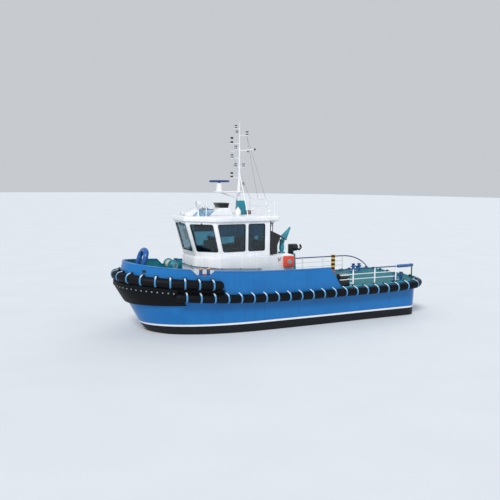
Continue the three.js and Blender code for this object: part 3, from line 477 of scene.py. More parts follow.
def round_the_bow(points, section):
    """Sections from the port end round the stem to the starboard end."""
    port = [section(*point) for point in points]
    return port + [[(x, -y, z) for x, y, z in ring] for ring in reversed(port[:-1])]


def loft(rings, capped=True):
    """A skin over closed rings of like point counts."""
    shell = bmesh.new()
    rows = [[shell.verts.new(point) for point in ring] for ring in rings]
    count = len(rows[0])
    for low, high in zip(rows, rows[1:]):
        for i in range(count):
            shell.faces.new((low[i], low[(i + 1) % count], high[(i + 1) % count], high[i]))
    if capped:
        shell.faces.new(reversed(rows[0]))
        shell.faces.new(rows[-1])
    return as_mesh(shell)


def sweep(path, radius, sides=16, round_ends=False, closed=False):
    """A round bar along a path. The radius is a number or a function of the distance along it."""
    path = [Vector(point) for point in path]
    count = len(path)
    along = [0.0]
    for a, b in zip(path, path[1:]):
        along.append(along[-1] + (b - a).length)
    width = radius if callable(radius) else lambda distance: radius
    rings = []
    side = None
    for i, point in enumerate(path):
        before = path[i - 1] if i or closed else point
        after = path[(i + 1) % count] if i < count - 1 or closed else point
        tangent = (after - before).normalized()
        if side is None:
            side = tangent.orthogonal().normalized()
        side = (side - tangent * side.dot(tangent)).normalized()
        rings.append((point, tangent, side, tangent.cross(side), width(along[i])))
    if round_ends:
        for end, way in ((0, -1), (-1, 1)):
            point, tangent, side, other, size = rings[end]
            caps = [(point + tangent * way * size * sin(pi / 2 * k / 5), tangent, side, other,
                     size * max(0.03, cos(pi / 2 * k / 5))) for k in range(1, 6)]
            rings = caps[::-1] + rings if way < 0 else rings + caps
    if closed:
        rings.append(rings[0])
    return loft([circle(point, side, other, size, sides) for point, tangent, side, other, size in rings],
                capped=not closed)


def bent(points, bend, steps=6):
    """The path through some points, with each corner rounded to a bend radius."""
    points = [Vector(point) for point in points]
    path = [points[0]]
    for before, corner, after in zip(points, points[1:], points[2:]):
        back, ahead = before - corner, after - corner
        reach = min(bend, back.length * 0.45, ahead.length * 0.45)
        start, end = corner + back.normalized() * reach, corner + ahead.normalized() * reach
        for k in range(steps + 1):
            t = k / steps
            path.append(start * (1 - t) ** 2 + corner * 2 * t * (1 - t) + end * t ** 2)
    return path + [points[-1]]


AFT_BAR = {"from": -7.99, "to": -2.75, "inset": 0.035, "radius": 0.03}
bar_port = [(x - nx * AFT_BAR["inset"], y - ny * AFT_BAR["inset"], deck_height(x) + AFT_BAR["radius"] * 0.4)
            for x, y, nx, ny in reversed(edge_points(AFT_BAR["from"], AFT_BAR["to"], 0.25))]
deck_teal = marine_enamel("deck_fitting_enamel", "2ba0ac", "12808e", gloss=0.38)
add_piece("deck_edge_bar", deck_teal, [
    sweep(bar_port + [(x, -y, z) for x, y, z in reversed(bar_port)], AFT_BAR["radius"], 10)])

# Bulwark
# A plate stands round the foredeck on the deck edge, leaning in towards the stem, with a notch in each side
# for the bitts' lines. It is blue outside and deck green inside, with a flat bar on top and stays inboard.
BULWARK_HEIGHT = 1.08
BULWARK_PLATE = 0.06
BULWARK_LEAN = {"most": 0.25, "from": 1.0}
BULWARK_END = {"foot": -2.8, "head": -2.1, "low": 0.06}
NOTCH = {"aft_top": 4.18, "aft_low": 4.45, "fore_low": 5.03, "fore_top": 5.33, "drop": 0.25}


def between(x, low_x, high_x, low, high):
    share = min(1.0, max(0.0, (x - low_x) / (high_x - low_x)))
    return low + (high - low) * share


def bulwark_height(x):
    end = between(x, BULWARK_END["foot"], BULWARK_END["head"], BULWARK_END["low"], BULWARK_HEIGHT)
    into = between(x, NOTCH["aft_top"], NOTCH["aft_low"], 0, NOTCH["drop"])
    out_of = between(x, NOTCH["fore_low"], NOTCH["fore_top"], 0, NOTCH["drop"])
    return end - into + out_of


def bulwark_lean(x):
    reach = max(0.0, (x - BULWARK_LEAN["from"]) / (DECK_EDGE["bow"] - BULWARK_LEAN["from"]))
    return BULWARK_LEAN["most"] * reach ** 2


def bulwark_section(outer, inner, foot=0.001, head=0.0):
    """A section of the plate between two distances inboard of its outer face."""
    def section(x, y, nx, ny):
        low, high = deck_height(x) + foot, deck_height(x) + bulwark_height(x) + head
        lean = bulwark_lean(x) * bulwark_height(x) / BULWARK_HEIGHT
        return [(x - nx * inboard, y - ny * inboard, z) for inboard, z in (
            (outer, low), (outer + lean, high), (inner + lean, high), (inner, low))]
    return section


NOTCH_PLACES = [NOTCH[name] for name in ("aft_top", "aft_low", "fore_low", "fore_top")]
bulwark_points = edge_points(BULWARK_END["foot"], DECK_EDGE["bow"], 0.2,
                             [BULWARK_END["head"], *NOTCH_PLACES])
half_plate = BULWARK_PLATE / 2
add_piece("bulwark_outer_plate", topside_enamel,
          [loft(round_the_bow(bulwark_points, bulwark_section(0, half_plate)))], ["bulwark"])
add_piece("bulwark_inner_plate", deck_teal,
          [loft(round_the_bow(bulwark_points, bulwark_section(half_plate, BULWARK_PLATE)))])

CAP_RAIL = {"over": 0.022, "deep": 0.04}


def cap_section(x, y, nx, ny):
    head = deck_height(x) + bulwark_height(x)
    lean = bulwark_lean(x) * bulwark_height(x) / BULWARK_HEIGHT
    outer, inner = lean - CAP_RAIL["over"], lean + BULWARK_PLATE + CAP_RAIL["over"]
    low, high, round_off = head - CAP_RAIL["deep"], head + 0.006, 0.014
    return [(x - nx * inboard, y - ny * inboard, z) for inboard, z in (
        (outer, low), (outer, high - round_off), (outer + round_off, high),
        (inner - round_off, high), (inner, high - round_off), (inner, low))]


cap_blue = marine_enamel("capping_rail_enamel", "2f86cf", "1a5fa6", gloss=0.3)
add_piece("bulwark_cap_rail", cap_blue, [loft(round_the_bow(bulwark_points, cap_section))])


def bake_repeats(name, path, instance, finish, count):
    """Geometry nodes set like shapes evenly from end to end of a path, upright and turned to it."""
    tree = bpy.data.node_groups.new(name + "_repeats", "GeometryNodeTree")
    face = tree.interface
    face.new_socket("Geometry", in_out="INPUT", socket_type="NodeSocketGeometry")
    sockets = {label: face.new_socket(label, in_out="INPUT", socket_type=kind) for label, kind in (
        ("Shape", "NodeSocketObject"), ("Count", "NodeSocketInt"), ("Finish", "NodeSocketMaterial"))}
    face.new_socket("Geometry", in_out="OUTPUT", socket_type="NodeSocketGeometry")
    inlet = add_node(tree, "NodeGroupInput", None).outputs
    curve = add_node(tree, "GeometryNodeMeshToCurve", "Curve", {"Mesh": inlet["Geometry"]})
    dots = add_node(tree, "GeometryNodeCurveToPoints", "Points", {"Curve": curve, "Count": inlet["Count"]},
                    mode="COUNT")
    upright = add_node(tree, "FunctionNodeAlignRotationToVector", "Rotation", {
        "Vector": dots.node.outputs["Tangent"]}, axis="X", pivot_axis="Z")
    shape = add_node(tree, "GeometryNodeObjectInfo", "Geometry", {"Object": inlet["Shape"]})
    placed = add_node(tree, "GeometryNodeInstanceOnPoints", "Instances", {
        "Points": dots, "Instance": shape, "Rotation": upright})
    solid = add_node(tree, "GeometryNodeRealizeInstances", "Geometry", {"Geometry": placed})
    finished = add_node(tree, "GeometryNodeSetMaterial", "Geometry", {
        "Geometry": solid, "Material": inlet["Finish"]})
    add_node(tree, "NodeGroupOutput", None, {"Geometry": finished})

    line = bpy.data.meshes.new(name + "_path")
    line.from_pydata(path, [(i, i + 1) for i in range(len(path) - 1)], [])
    carrier = bpy.data.objects.new(name + "_path", line)
    model = bpy.data.objects.new(name + "_model", instance)
    for helper in (carrier, model):
        scene.collection.objects.link(helper)
    repeats = carrier.modifiers.new("repeats", "NODES")
    repeats.node_group = tree
    repeats[sockets["Shape"].identifier] = model
    repeats[sockets["Count"].identifier] = count
    repeats[sockets["Finish"].identifier] = finish
    baked = bpy.data.meshes.new_from_object(carrier.evaluated_get(bpy.context.evaluated_depsgraph_get()))
    for helper in (carrier, model):
        bpy.data.objects.remove(helper)
    bpy.data.node_groups.remove(tree)
    baked.materials.clear()
    return baked


def trimmed(path, start):
    """The path with the same length cut off both ends."""
    points = [Vector(point) for point in path]
    for _ in range(2):
        left = start
        while (points[1] - points[0]).length < left:
            left -= (points[1] - points[0]).length
            points.pop(0)
        points[0] = points[0].lerp(points[1], left / (points[1] - points[0]).length)
        points.reverse()
    return points


def prism(outline, low, high, plane="XZ"):
    """An outline drawn in one plane and made thick along the third axis."""
    order = {"XZ": lambda a, b, c: (a, c, b), "YZ": lambda a, b, c: (c, a, b),
             "XY": lambda a, b, c: (a, b, c)}[plane]
    return loft([[order(a, b, c) for a, b in outline] for c in (low, high)])


STAY = {"foot": 0.2, "head": 0.05, "height": 0.94, "thick": 0.012}
stay_web = prism([(0, 0), (-STAY["foot"], 0), (-STAY["foot"], 0.05), (-STAY["head"], STAY["height"]),
                  (0, STAY["height"])], -STAY["thick"] / 2, STAY["thick"] / 2, "YZ")
STAYS_A_SIDE = 9
stay_sides = []
for side in (1, -1):
    line = [(x - nx * (BULWARK_PLATE - 0.005), side * (y - ny * (BULWARK_PLATE - 0.005)),
             deck_height(x) + 0.004)
            for x, y, nx, ny in edge_points(-1.75, 3.95, 0.1)]
    stay_sides.append(bake_repeats("stays", line[::side], stay_web.copy(), deck_teal, STAYS_A_SIDE))
bpy.data.meshes.remove(stay_web)
add_piece("bulwark_stays", deck_teal, stay_sides, bevel=0.003, segments=1)

# Panama fairlead: an oval cast ring let into the bulwark on each bow, through which the mooring line runs.
# Its dark opening is a thin oval plug inside the ring, 4 mm proud of the plate on both sides.
FAIRLEAD = {"x": 7.32, "height": 0.77, "half_long": 0.09, "half_high": 0.085, "ring": 0.03, "steps": 28,
            "proud": 0.004}
black_gear = marine_enamel("black_gear_enamel", "14171c", "08090c", gloss=0.42)
fairlead_shapes = []
for side in (1, -1):
    x, y, nx, ny = edge_points(FAIRLEAD["x"], DECK_EDGE["bow"], 0.5)[0]
    inboard = bulwark_lean(x) * FAIRLEAD["height"] / BULWARK_HEIGHT + half_plate
    centre = Vector((x - nx * inboard, side * (y - ny * inboard), deck_height(x) + FAIRLEAD["height"]))
    along, out = Vector((-ny, side * nx, 0)), Vector((nx, side * ny, 0))
    oval = circle(centre, along * FAIRLEAD["half_long"], Vector(UP) * FAIRLEAD["half_high"], 1,
                  FAIRLEAD["steps"])
    fairlead_shapes.append(sweep(oval, FAIRLEAD["ring"], 12, closed=True))
    plug_half = half_plate + FAIRLEAD["proud"]
    fairlead_shapes.append(loft([[point + out * depth for point in oval]
                                 for depth in (-plug_half, plug_half)]))
add_piece("bow_fairleads", black_gear, fairlead_shapes)

# Fenders
# Cylindrical moulded rubber lies round the bow at the bulwark's foot and round the whole deck edge below it.
# Webbing straps with steel lugs pull it against the plate, and a thick block pads the stem below.

# Extruded marine rubber. The eye sees a deep blue-black with a dull bloom on top, pale rubbed scuffs where
# other hulls have chafed it, and fine pits.
fender_rubber = patterned_finish(
    "moulded_fender_rubber", ("Noise", {"Scale": 1.6, "Detail": 7, "Roughness": 0.7}), ("010204", "090e16"),
    {"Specular IOR Level": 0.16}, rough={"To Min": 0.38, "To Max": 0.72},
    relief=(0.35, 0.012, "Noise", {"Scale": 26, "Detail": 5, "Roughness": 0.75}),
    over=(("Noise", {"Scale": 3.2, "Detail": 8, "Roughness": 0.78}, (1.0, 1.0, 7.0)),
          {"From Min": 0.6, "From Max": 0.8, "To Max": 0.3}, "1c2633"))
# Woven polyester webbing. The eye sees a light blue, dirty in its weave, with a painted highlight: a near
# white is laid on where faces look up. The real threads are 1 mm apart; they are drawn at 8 mm so that they
# show.
webbing = patterned_finish(
    "woven_polyester_strap", ("Noise", {"Scale": 6, "Detail": 8, "Roughness": 0.7}), ("1f72b0", "4ba2d8"),
    {"Roughness": 0.75, "Sheen Weight": 0.2}, relief=(0.4, 0.004, "Noise", {"Scale": 120, "Detail": 1}),
    over=(None, {"From Min": 0.62, "From Max": 0.95}, "cfe4f2"))
SUNK = 0.025
BOW_FENDER = {"radius": 0.215, "above": 0.42, "end": 4.05, "straps": 16, "first": 0.31}
BELT_FENDER = {"radius": 0.2, "below": 0.205, "end": 5.89, "straps": 50, "first": 0.36}


def bow_fender_centre(x, y, nx, ny):
    out = BOW_FENDER["radius"] - SUNK - bulwark_lean(x) * BOW_FENDER["above"] / BULWARK_HEIGHT
    return [(x + nx * out, y + ny * out, deck_height(x) + BOW_FENDER["above"])]


def belt_fender_centre(x, y, nx, ny):
    out = BELT_FENDER["radius"] - SUNK
    return [(x + nx * out, y + ny * out, deck_height(x) - BELT_FENDER["below"])]


bow_path = [ring[0] for ring in round_the_bow(
    edge_points(BOW_FENDER["end"], DECK_EDGE["bow"], 0.12), bow_fender_centre)]
belt_port = [belt_fender_centre(*point)[0]
             for point in edge_points(DECK_EDGE["stern"], BELT_FENDER["end"], 0.12)]
belt_path = [(x, -y, z) for x, y, z in reversed(belt_port)] + belt_port


def path_length(path):
    return sum((Vector(b) - Vector(a)).length for a, b in zip(path, path[1:]))


def resampled(path, step):
    """Points at an even step along a path."""
    points = [Vector(point) for point in path]
    total = path_length(path)
    count = round(total / step)
    even, done, i = [points[0]], 0.0, 0
    for k in range(1, count):
        target = total * k / count
        while done + (points[i + 1] - points[i]).length < target:
            done += (points[i + 1] - points[i]).length
            i += 1
        even.append(points[i].lerp(points[i + 1], (target - done) / (points[i + 1] - points[i]).length))
    return even + [points[-1]]


def pinched(radius, first, spacing):
    """The tube's radius: each strap draws it in a little, and it swells between them."""
    def at(distance):
        from_strap = abs((distance - first + spacing / 2) % spacing - spacing / 2)
        return radius * (1 - 0.035 * max(0.0, 1 - from_strap / 0.16) ** 2)
    return at


def strap_model(radius, lug):
    """One strap in its own frame: X along the fender, Y outboard, Z up. It ends on its lug."""
    half_width, thick, from_angle, to_angle = 0.036, 0.009, -135, 80
    middle = [(radius * cos(radians(a)), radius * sin(radians(a)))
              for a in range(from_angle, to_angle + 1, 8)]
    middle.append(lug)
    rings = []
    for i, (y, z) in enumerate(middle):
        if i < len(middle) - 1:
            length = hypot(y, z)
            ny, nz = y / length, z / length
        inner, outer = (y - ny * thick, z - nz * thick), (y + ny * thick, z + nz * thick)
        rings.append([(-half_width, *inner), (half_width, *inner), (half_width, *outer),
                      (-half_width, *outer)])
    return loft(rings)


def lug_model(lug, size):
    """A strap's lug: a thick plate on edge, welded to the ship, and the shackle's pin in it."""
    y, z = lug
    width, depth, height = size
    plate = prism([(y - depth, z - height), (y + depth * 0.6, z - height), (y + depth * 0.6, z + 0.01),
                   (y + depth * 0.2, z + 0.035), (y - depth * 0.5, z + 0.035), (y - depth, z)],
                  -width / 2, width / 2, "YZ")
    pin = sweep([(-width * 0.95, y, z), (width * 0.95, y, z)], 0.018, 10)
    joined = bmesh.new()
    joined.from_mesh(plate)
    joined.from_mesh(pin)
    joined.to_mesh(plate)
    joined.free()
    bpy.data.meshes.remove(pin)
    return plate


# Columns: name, node, path, sizes, lug place outboard and up from the tube's centre, lug size
for name, node, path, sizes, lug, lug_size in (
        ("bow_fender", "bow_fender", bow_path, BOW_FENDER, (-0.15, 0.26), (0.11, 0.06, 0.12)),
        ("belt_fender", "belt_fender", belt_path, BELT_FENDER, (-0.235, 0.275), (0.11, 0.055, 0.09))):
    spacing = (path_length(path) - 2 * sizes["first"]) / (sizes["straps"] - 1)
    tube = sweep(resampled(path, 0.08), pinched(sizes["radius"], sizes["first"], spacing), 28,
                 round_ends=True)
    add_piece(name + "_tube", fender_rubber, [tube], [node])
    strap_path = trimmed(path, sizes["first"])
    add_piece(name + "_straps", webbing, [
        bake_repeats(name, strap_path, strap_model(sizes["radius"] + 0.002, lug), webbing, sizes["straps"])])
    add_piece(name + "_lugs", black_gear, [
        bake_repeats(name, strap_path, lug_model(lug, lug_size), black_gear, sizes["straps"])], bevel=0.006)

BLOCK = {"low": 1.45, "thick": 0.2, "end": 5.95, "clear": 0.003}
# The dark bars between the two fenders are painted shadow: the shade under the bow fender, drawn as dark
# rubber.
GAP_SHADOW = {"from": 3.75, "to": 5.94, "low": -0.07, "high": 0.2, "thick": 0.05}


def gap_shadow_section(x, y, nx, ny):
    """A flat dark rubber bar in the gap between the two fenders beside the push block: painted shadow,
    standing for the shade that the bow fender casts on the hull.
    """
    low, high = deck_height(x) + GAP_SHADOW["low"], deck_height(x) + GAP_SHADOW["high"]
    return [(x + nx * out, y + ny * out, z) for out, z in (
        (0.002, low), (GAP_SHADOW["thick"], low), (GAP_SHADOW["thick"], high), (0.002, high))]


gap_shadow_sections = [gap_shadow_section(*point) for point in edge_points(GAP_SHADOW["from"], GAP_SHADOW["to"], 0.2)]
gap_shadow_bars = [loft(gap_shadow_sections)]
gap_shadow_bars.append(loft([[(x, -y, z) for x, y, z in section] for section in reversed(gap_shadow_sections)]))
add_piece("fender_infill_bars", fender_rubber, gap_shadow_bars, bevel=0.008)


def block_section(x, y, nx, ny):
    """The push block's section, from its foot on the hull's flare up to the bow fender."""
    share = (BLOCK["low"] - CHINE_HEIGHTS[2]) / (deck_height(x) - CHINE_HEIGHTS[2])
    at = (x - DECK_EDGE["shoulder"]) / (DECK_EDGE["bow"] - DECK_EDGE["shoulder"])
    foot_x, foot_y, _, _ = plan_point(CHINE, ("bow", min(1.0, at)))
    low_x, low_y = foot_x + (x - foot_x) * share, foot_y + (y - foot_y) * share
    deck_z = deck_height(x)
    head_z = deck_z + BOW_FENDER["above"] - BOW_FENDER["radius"] - BLOCK["clear"]
    thick, rounding = BLOCK["thick"], 0.05
    return [
        (low_x + nx * (thick - rounding), low_y + ny * (thick - rounding), BLOCK["low"]),
        (low_x + nx * thick, low_y + ny * thick, BLOCK["low"] + rounding),
        (x + nx * thick, y + ny * thick, deck_z - 0.02), (x + nx * thick, y + ny * thick, head_z - rounding),
        (x + nx * (thick - rounding), y + ny * (thick - rounding), head_z),
        (x + nx * 0.01, y + ny * 0.01, head_z), (x - nx * 0.01, y - ny * 0.01, deck_z),
        (low_x - nx * 0.02, low_y - ny * 0.02, BLOCK["low"])]


block_points = edge_points(BLOCK["end"], DECK_EDGE["bow"], 0.12)
add_piece("bow_push_pad", fender_rubber, [loft(round_the_bow(block_points, block_section))],
          ["bow_push_block"])


def stud_model(radius, height):
    """A domed bolt head on a washer, in a frame where Y is outboard."""
    return loft([circle((0, height * out, 0), AHEAD, UP, radius * reach, 8)
                 for reach, out in ((1.5, 0), (1.5, 0.15), (1.0, 0.15), (1.0, 0.75), (0.6, 1.0))])


# Hot-dip galvanised steel. The eye sees a soft grey with a faint mottle of zinc crystals.
galvanised = patterned_finish("galvanised_steel", ("Voronoi", {"Scale": 40}), ("b9bec4", "888e96"),
                              {"Metallic": 0.75}, rough={"To Min": 0.35, "To Max": 0.55})
BOLT_ROW = {"from": 6.1, "below_deck": 0.03, "count": 27, "radius": 0.022, "head": 0.02}


def bolt_place(x, y, nx, ny):
    return [(x + nx * BLOCK["thick"], y + ny * BLOCK["thick"], deck_height(x) - BOLT_ROW["below_deck"])]


bolt_line = [ring[0] for ring in round_the_bow(edge_points(BOLT_ROW["from"], DECK_EDGE["bow"], 0.1),
                                               bolt_place)]
add_piece("push_pad_bolts", galvanised, [bake_repeats(
    "push_pad_bolts", bolt_line, stud_model(BOLT_ROW["radius"], BOLT_ROW["head"]), galvanised,
    BOLT_ROW["count"])])

# Deckhouse
# A welded steel box stands on the deck under the wheelhouse, with its front corners cut back. It is filled,
# sanded and sprayed white. A handrail on each side is held off the plate by brackets.
white_enamel = marine_enamel("white_house_enamel", "f5f6f8", "dde2e9", gloss=0.28, peel=0.06)
add_piece("deckhouse_box", white_enamel, "deckhouse", bevel=0.03, segments=4)
rail_blue = marine_enamel("dark_blue_rail_enamel", "1a4a88", "0f3060", gloss=0.3)
# It runs along the side, round the cut-back corner and over half the front
GRAB = {"off": 0.08, "radius": 0.021,
        "path": ((1.42, 1.83, 2.9), (3.636, 1.83, 3.02), (4.58, 0.781, 3.06), (4.58, 0.05, 3.06))}
# Columns: run of the path, share along it, outward direction
GRAB_BRACKETS = ((0, 0.05, PORT), (0, 0.5, PORT), (0, 0.95, PORT), (1, 0.5, (0.743, 0.669, 0)),
                 (2, 0.5, AHEAD))
SIDES = ((1, "port"), (-1, "stbd"))
for side, half in SIDES:
    line = [Vector((x, side * y, z)) for x, y, z in GRAB["path"]]
    bars = [sweep(bent(line, 0.06), GRAB["radius"], 12, round_ends=True)]
    for run, share, out in GRAB_BRACKETS:
        head = line[run].lerp(line[run + 1], share)
        out = Vector((out[0], side * out[1], 0))
        wall = head - out * (GRAB["off"] - 0.002)
        bars.append(sweep([wall, head], 0.012, 8))
        bars.append(sweep([wall, wall + out * 0.01], 0.034, 12))
    add_piece("trunk_rail_" + half, rail_blue, bars, ["trunk_handrail_" + half])

# Hose box on the port side: a moulded orange case with a round grey reel in its front and a crossed handle
orange_moulding = marine_enamel("orange_moulded_case", "ee4a2c", "c83a22", gloss=0.34)
HOSE_BOX = {"x": (-0.37, 0.19), "y": (1.752, 1.94), "z": (2.92, 3.47), "reel_x": -0.09, "reel_z": 3.195}
REEL = {"rim": 0.115, "rim_bar": 0.018, "cheek": 0.1, "hub": 0.03, "spoke_bar": 0.014}


def box_shape(x, y, z):
    return prism([(x[0], z[0]), (x[1], z[0]), (x[1], z[1]), (x[0], z[1])], *y)


def reel_point(out, across=0.0, up=0.0):
    """A place on the reel: its distance out from the case's front, forward and up from its middle."""
    return HOSE_BOX["reel_x"] + across, HOSE_BOX["y"][1] + out, HOSE_BOX["reel_z"] + up


add_piece("hose_box_case", orange_moulding, [
    box_shape(HOSE_BOX["x"], HOSE_BOX["y"], HOSE_BOX["z"])], ["side_box"], bevel=0.05, segments=5)
reel_parts = [sweep(circle(reel_point(0.01), AHEAD, UP, REEL["rim"], 32), REEL["rim_bar"], 10, closed=True),
              sweep([reel_point(-0.02), reel_point(0.012)], REEL["cheek"], 32),
              sweep([reel_point(0), reel_point(0.045)], REEL["hub"], 16)]
for turn in (pi / 4, -pi / 4):
    dx, dz = REEL["cheek"] * cos(turn), REEL["cheek"] * sin(turn)
    reel_parts.append(sweep([reel_point(0.02, -dx, -dz), reel_point(0.02, dx, dz)], REEL["spoke_bar"], 8))
add_piece("hose_box_reel", galvanised, reel_parts, bevel=0.004, segments=1)

# A forked hook of dark steel for a coiled line, on the trunk's port side
HOOK = Vector((0.42, 1.755, 3.3))
fork = [sweep([HOOK + Vector((0, 0, -0.09)), HOOK + Vector((0, 0.03, 0))], 0.014, 10)]
for side in (-1, 1):
    prong = [HOOK + Vector(reach)
             for reach in ((0, 0.03, -0.01), (side * 0.05, 0.05, 0.04), (side * 0.07, 0.06, 0.11))]
    fork.append(sweep(bent(prong, 0.03), 0.013, 10, round_ends=True))
add_piece("line_hook", black_gear, fork)

# Wheelhouse walls
# Raked steel panels meet at the corners, each pierced for one window with rounded corners. The glass sits in
# black rubber channel pressed round the opening. Door and aft window are in the aft wall.
HOUSE = {"aft": 0.8, "half": 1.6, "foot": 3.503, "top": 5.2, "wall": 0.06, "split": 2.12}
HOUSE_FRONT = {"x": 4.95, "half": 0.72, "corner": 3.82, "rake": 0.52, "corner_rake": 0.39}
WINDOW = {"sill": 3.78, "head": 5.08, "rounding": 0.09, "pane": 0.012, "recess": 0.022}
HOUSE_MIDDLE = Vector((2.5, 0, 4.3))


def house_corner(number, z):
    """A corner of the wheelhouse at a height: 0 aft, 1 side, 2 front to port, then 3, 4, 5 going back."""
    share = (HOUSE["top"] - z) / (HOUSE["top"] - 3.5)
    plan = [(HOUSE["aft"], HOUSE["half"]),
            (HOUSE_FRONT["corner"] - HOUSE_FRONT["corner_rake"] * share, HOUSE["half"]),
            (HOUSE_FRONT["x"] - HOUSE_FRONT["rake"] * share, HOUSE_FRONT["half"])]
    x, y = plan[number] if number < 3 else plan[5 - number]
    return Vector((x, y if number < 3 else -y, z))


def face_quad(start, end, near, far, low, high):
    """Four corners of a patch of the wall between two house corners, from its near to its far share."""
    def at(share, z):
        return house_corner(start, z).lerp(house_corner(end, z), share)
    return [at(near, low), at(far, low), at(far, high), at(near, high)]


def side_quad(side, low_fore, low_aft, high_aft, high_fore, low, high):
    corners = ((low_fore, low), (low_aft, low), (high_aft, high), (high_fore, high))
    return [Vector((x, side * HOUSE["half"], z)) for x, z in corners]


def aft_quad(y0, y1, low, high):
    return [Vector((HOUSE["aft"], y, z)) for y, z in ((y0, low), (y1, low), (y1, high), (y0, high))]


def inward(corners):
    normal = (corners[1] - corners[0]).cross(corners[3] - corners[0]).normalized()
    return normal if normal.dot(HOUSE_MIDDLE - corners[0]) > 0 else -normal


def rounded_ring(corners, rounding, steps=5):
    ring = []
    for before, corner, after in zip(corners[-1:] + corners[:-1], corners, corners[1:] + corners[:1]):
        start = corner + (before - corner).normalized() * rounding
        end = corner + (after - corner).normalized() * rounding
        shares = [k / steps for k in range(steps + 1)]
        ring += [start * (1 - t) ** 2 + corner * 2 * t * (1 - t) + end * t ** 2 for t in shares]
    return ring


def pierced_panel(outer, opening, rounding, thick):
    """A plate with a rounded opening: two skins, the reveal between them and the plate's own edges."""
    plate = bmesh.new()
    depth = inward(outer) * thick
    ring = rounded_ring(opening, rounding)
    per_corner = len(ring) // 4
    skins = [([plate.verts.new(point + shift) for point in outer],
              [plate.verts.new(point + shift) for point in ring])
             for shift in (Vector((0, 0, 0)), depth)]
    for corners, hole in skins:
        for k in range(4):
            arc = hole[k * per_corner:(k + 1) * per_corner]
            for a, b in zip(arc, arc[1:]):
                plate.faces.new((corners[k], a, b))
            plate.faces.new((corners[k], arc[-1], hole[(k + 1) * per_corner % len(hole)],
                             corners[(k + 1) % 4]))
    for part in (0, 1):
        front, back = skins[0][part], skins[1][part]
        for i in range(len(front)):
            j = (i + 1) % len(front)
            plate.faces.new((front[i], front[j], back[j], back[i]))
    return as_mesh(plate)


# Laminated marine glass. The eye sees a clear blue-green tint with the sky on it, over a dim cabin.
glass = patterned_finish(
    "laminated_tinted_glass", ("Noise", {"Scale": 2.2, "Detail": 6, "Roughness": 0.6}), ("6aa0b0", "88bdcb"),
    {"Transmission Weight": 1.0, "IOR": 1.48, "Specular IOR Level": 0.2},
    rough={"From Min": 0.5, "From Max": 0.8, "To Min": 0.0, "To Max": 0.06})
# Black glazing rubber. The eye sees a matt near-black line with a grey bloom.
channel_rubber = patterned_finish("glazing_channel_rubber", ("Noise", {"Scale": 9, "Detail": 5}),
                                  ("07090c", "20252b"), {"Roughness": 0.7})
FOOT, HEAD = HOUSE["foot"], HOUSE["top"]
SILL, LINTEL = WINDOW["sill"], WINDOW["head"]
DOOR_PANEL_EDGE = -0.245
low_corner, high_corner = house_corner(1, FOOT).x, house_corner(1, HEAD).x
# Columns: pane, outline of the wall panel, outline of its opening
PANELS = [
    ("front", face_quad(2, 3, 0, 1, FOOT, HEAD), face_quad(2, 3, 0.1, 0.9, SILL, LINTEL)),
    ("corner_port", face_quad(1, 2, 0, 1, FOOT, HEAD), face_quad(1, 2, 0.1, 0.88, SILL, LINTEL)),
    ("corner_stbd", face_quad(4, 3, 0, 1, FOOT, HEAD), face_quad(4, 3, 0.1, 0.88, SILL, LINTEL)),
    ("aft", aft_quad(DOOR_PANEL_EDGE, HOUSE["half"], FOOT, HEAD), aft_quad(-0.18, 0.42, 4.15, LINTEL)),
]
for side, half in SIDES:
    PANELS.append(("side_fore_" + half,
                   side_quad(side, low_corner, HOUSE["split"], HOUSE["split"], high_corner, FOOT, HEAD),
                   side_quad(side, 3.37, 2.21, 2.21, 3.67, SILL, LINTEL)))
    PANELS.append(("side_aft_" + half,
                   side_quad(side, HOUSE["split"], HOUSE["aft"], HOUSE["aft"], HOUSE["split"], FOOT, HEAD),
                   side_quad(side, 2.03, 1.14, 1.14, 2.03, SILL, LINTEL)))
walls, channels = [], []
for pane, outline, opening in PANELS:
    rounding = WINDOW["rounding"]
    walls.append(pierced_panel(outline, opening, rounding, HOUSE["wall"]))
    step_in = inward(outline)
    ring = rounded_ring(opening, rounding)
    for depth, radius in ((-0.002, 0.016), (HOUSE["wall"] - 0.008, 0.014)):
        channels.append(sweep([point + step_in * depth for point in ring], radius, 8, closed=True))
    faces = (WINDOW["recess"], WINDOW["recess"] + WINDOW["pane"])
    add_piece("pane_" + pane, glass, [
        loft([[point + step_in * depth for point in ring] for depth in faces])], ["window_" + pane])
DOORWAY = {"y": (-0.91, -0.31), "z": (3.56, 5.09), "rounding": 0.1}
walls.append(pierced_panel(aft_quad(-HOUSE["half"], DOOR_PANEL_EDGE, FOOT, HEAD),
                           aft_quad(*DOORWAY["y"], *DOORWAY["z"]), DOORWAY["rounding"], HOUSE["wall"]))
HINGES = {"x": 0.745, "y": -0.96, "z": (3.8, 4.8), "long": 0.06, "radius": 0.015, "leaf": 0.008}
for z in HINGES["z"]:
    hinge_run = (z - HINGES["long"], z - 0.001)
    walls.append(sweep([(HINGES["x"], HINGES["y"], end) for end in hinge_run], HINGES["radius"], 12))
    walls.append(box_shape((HINGES["x"], HOUSE["aft"] + 0.01),
                           (HINGES["y"] - HINGES["leaf"], HINGES["y"] + HINGES["leaf"]), hinge_run))
add_piece("wheelhouse_walls", white_enamel, walls, ["wheelhouse"], bevel=0.008, segments=2)
add_piece("glazing_channels", channel_rubber, channels)

# Parked wipers: a black arm and blade across the head of each forward pane
wipers = []
for start, end, near, far in ((2, 3, 0.16, 0.8), (1, 2, 0.14, 0.8), (4, 3, 0.14, 0.8)):
    quad = face_quad(start, end, near, far, LINTEL - 0.075, LINTEL + 0.045)
    lift = -inward(quad) * 0.02
    wipers.append(sweep([quad[0] + lift, quad[1] + lift], 0.014, 8, round_ends=True))
    boss = quad[3].lerp(quad[2], 0.5)
    wipers.append(sweep([boss - lift * 0.9, boss + lift * 2], 0.028, 12, round_ends=True))
    wipers.append(sweep([boss + lift * 1.8, quad[0].lerp(quad[1], 0.35) + lift * 1.3], 0.009, 8,
                        round_ends=True))
add_piece("window_wipers", black_gear, wipers)


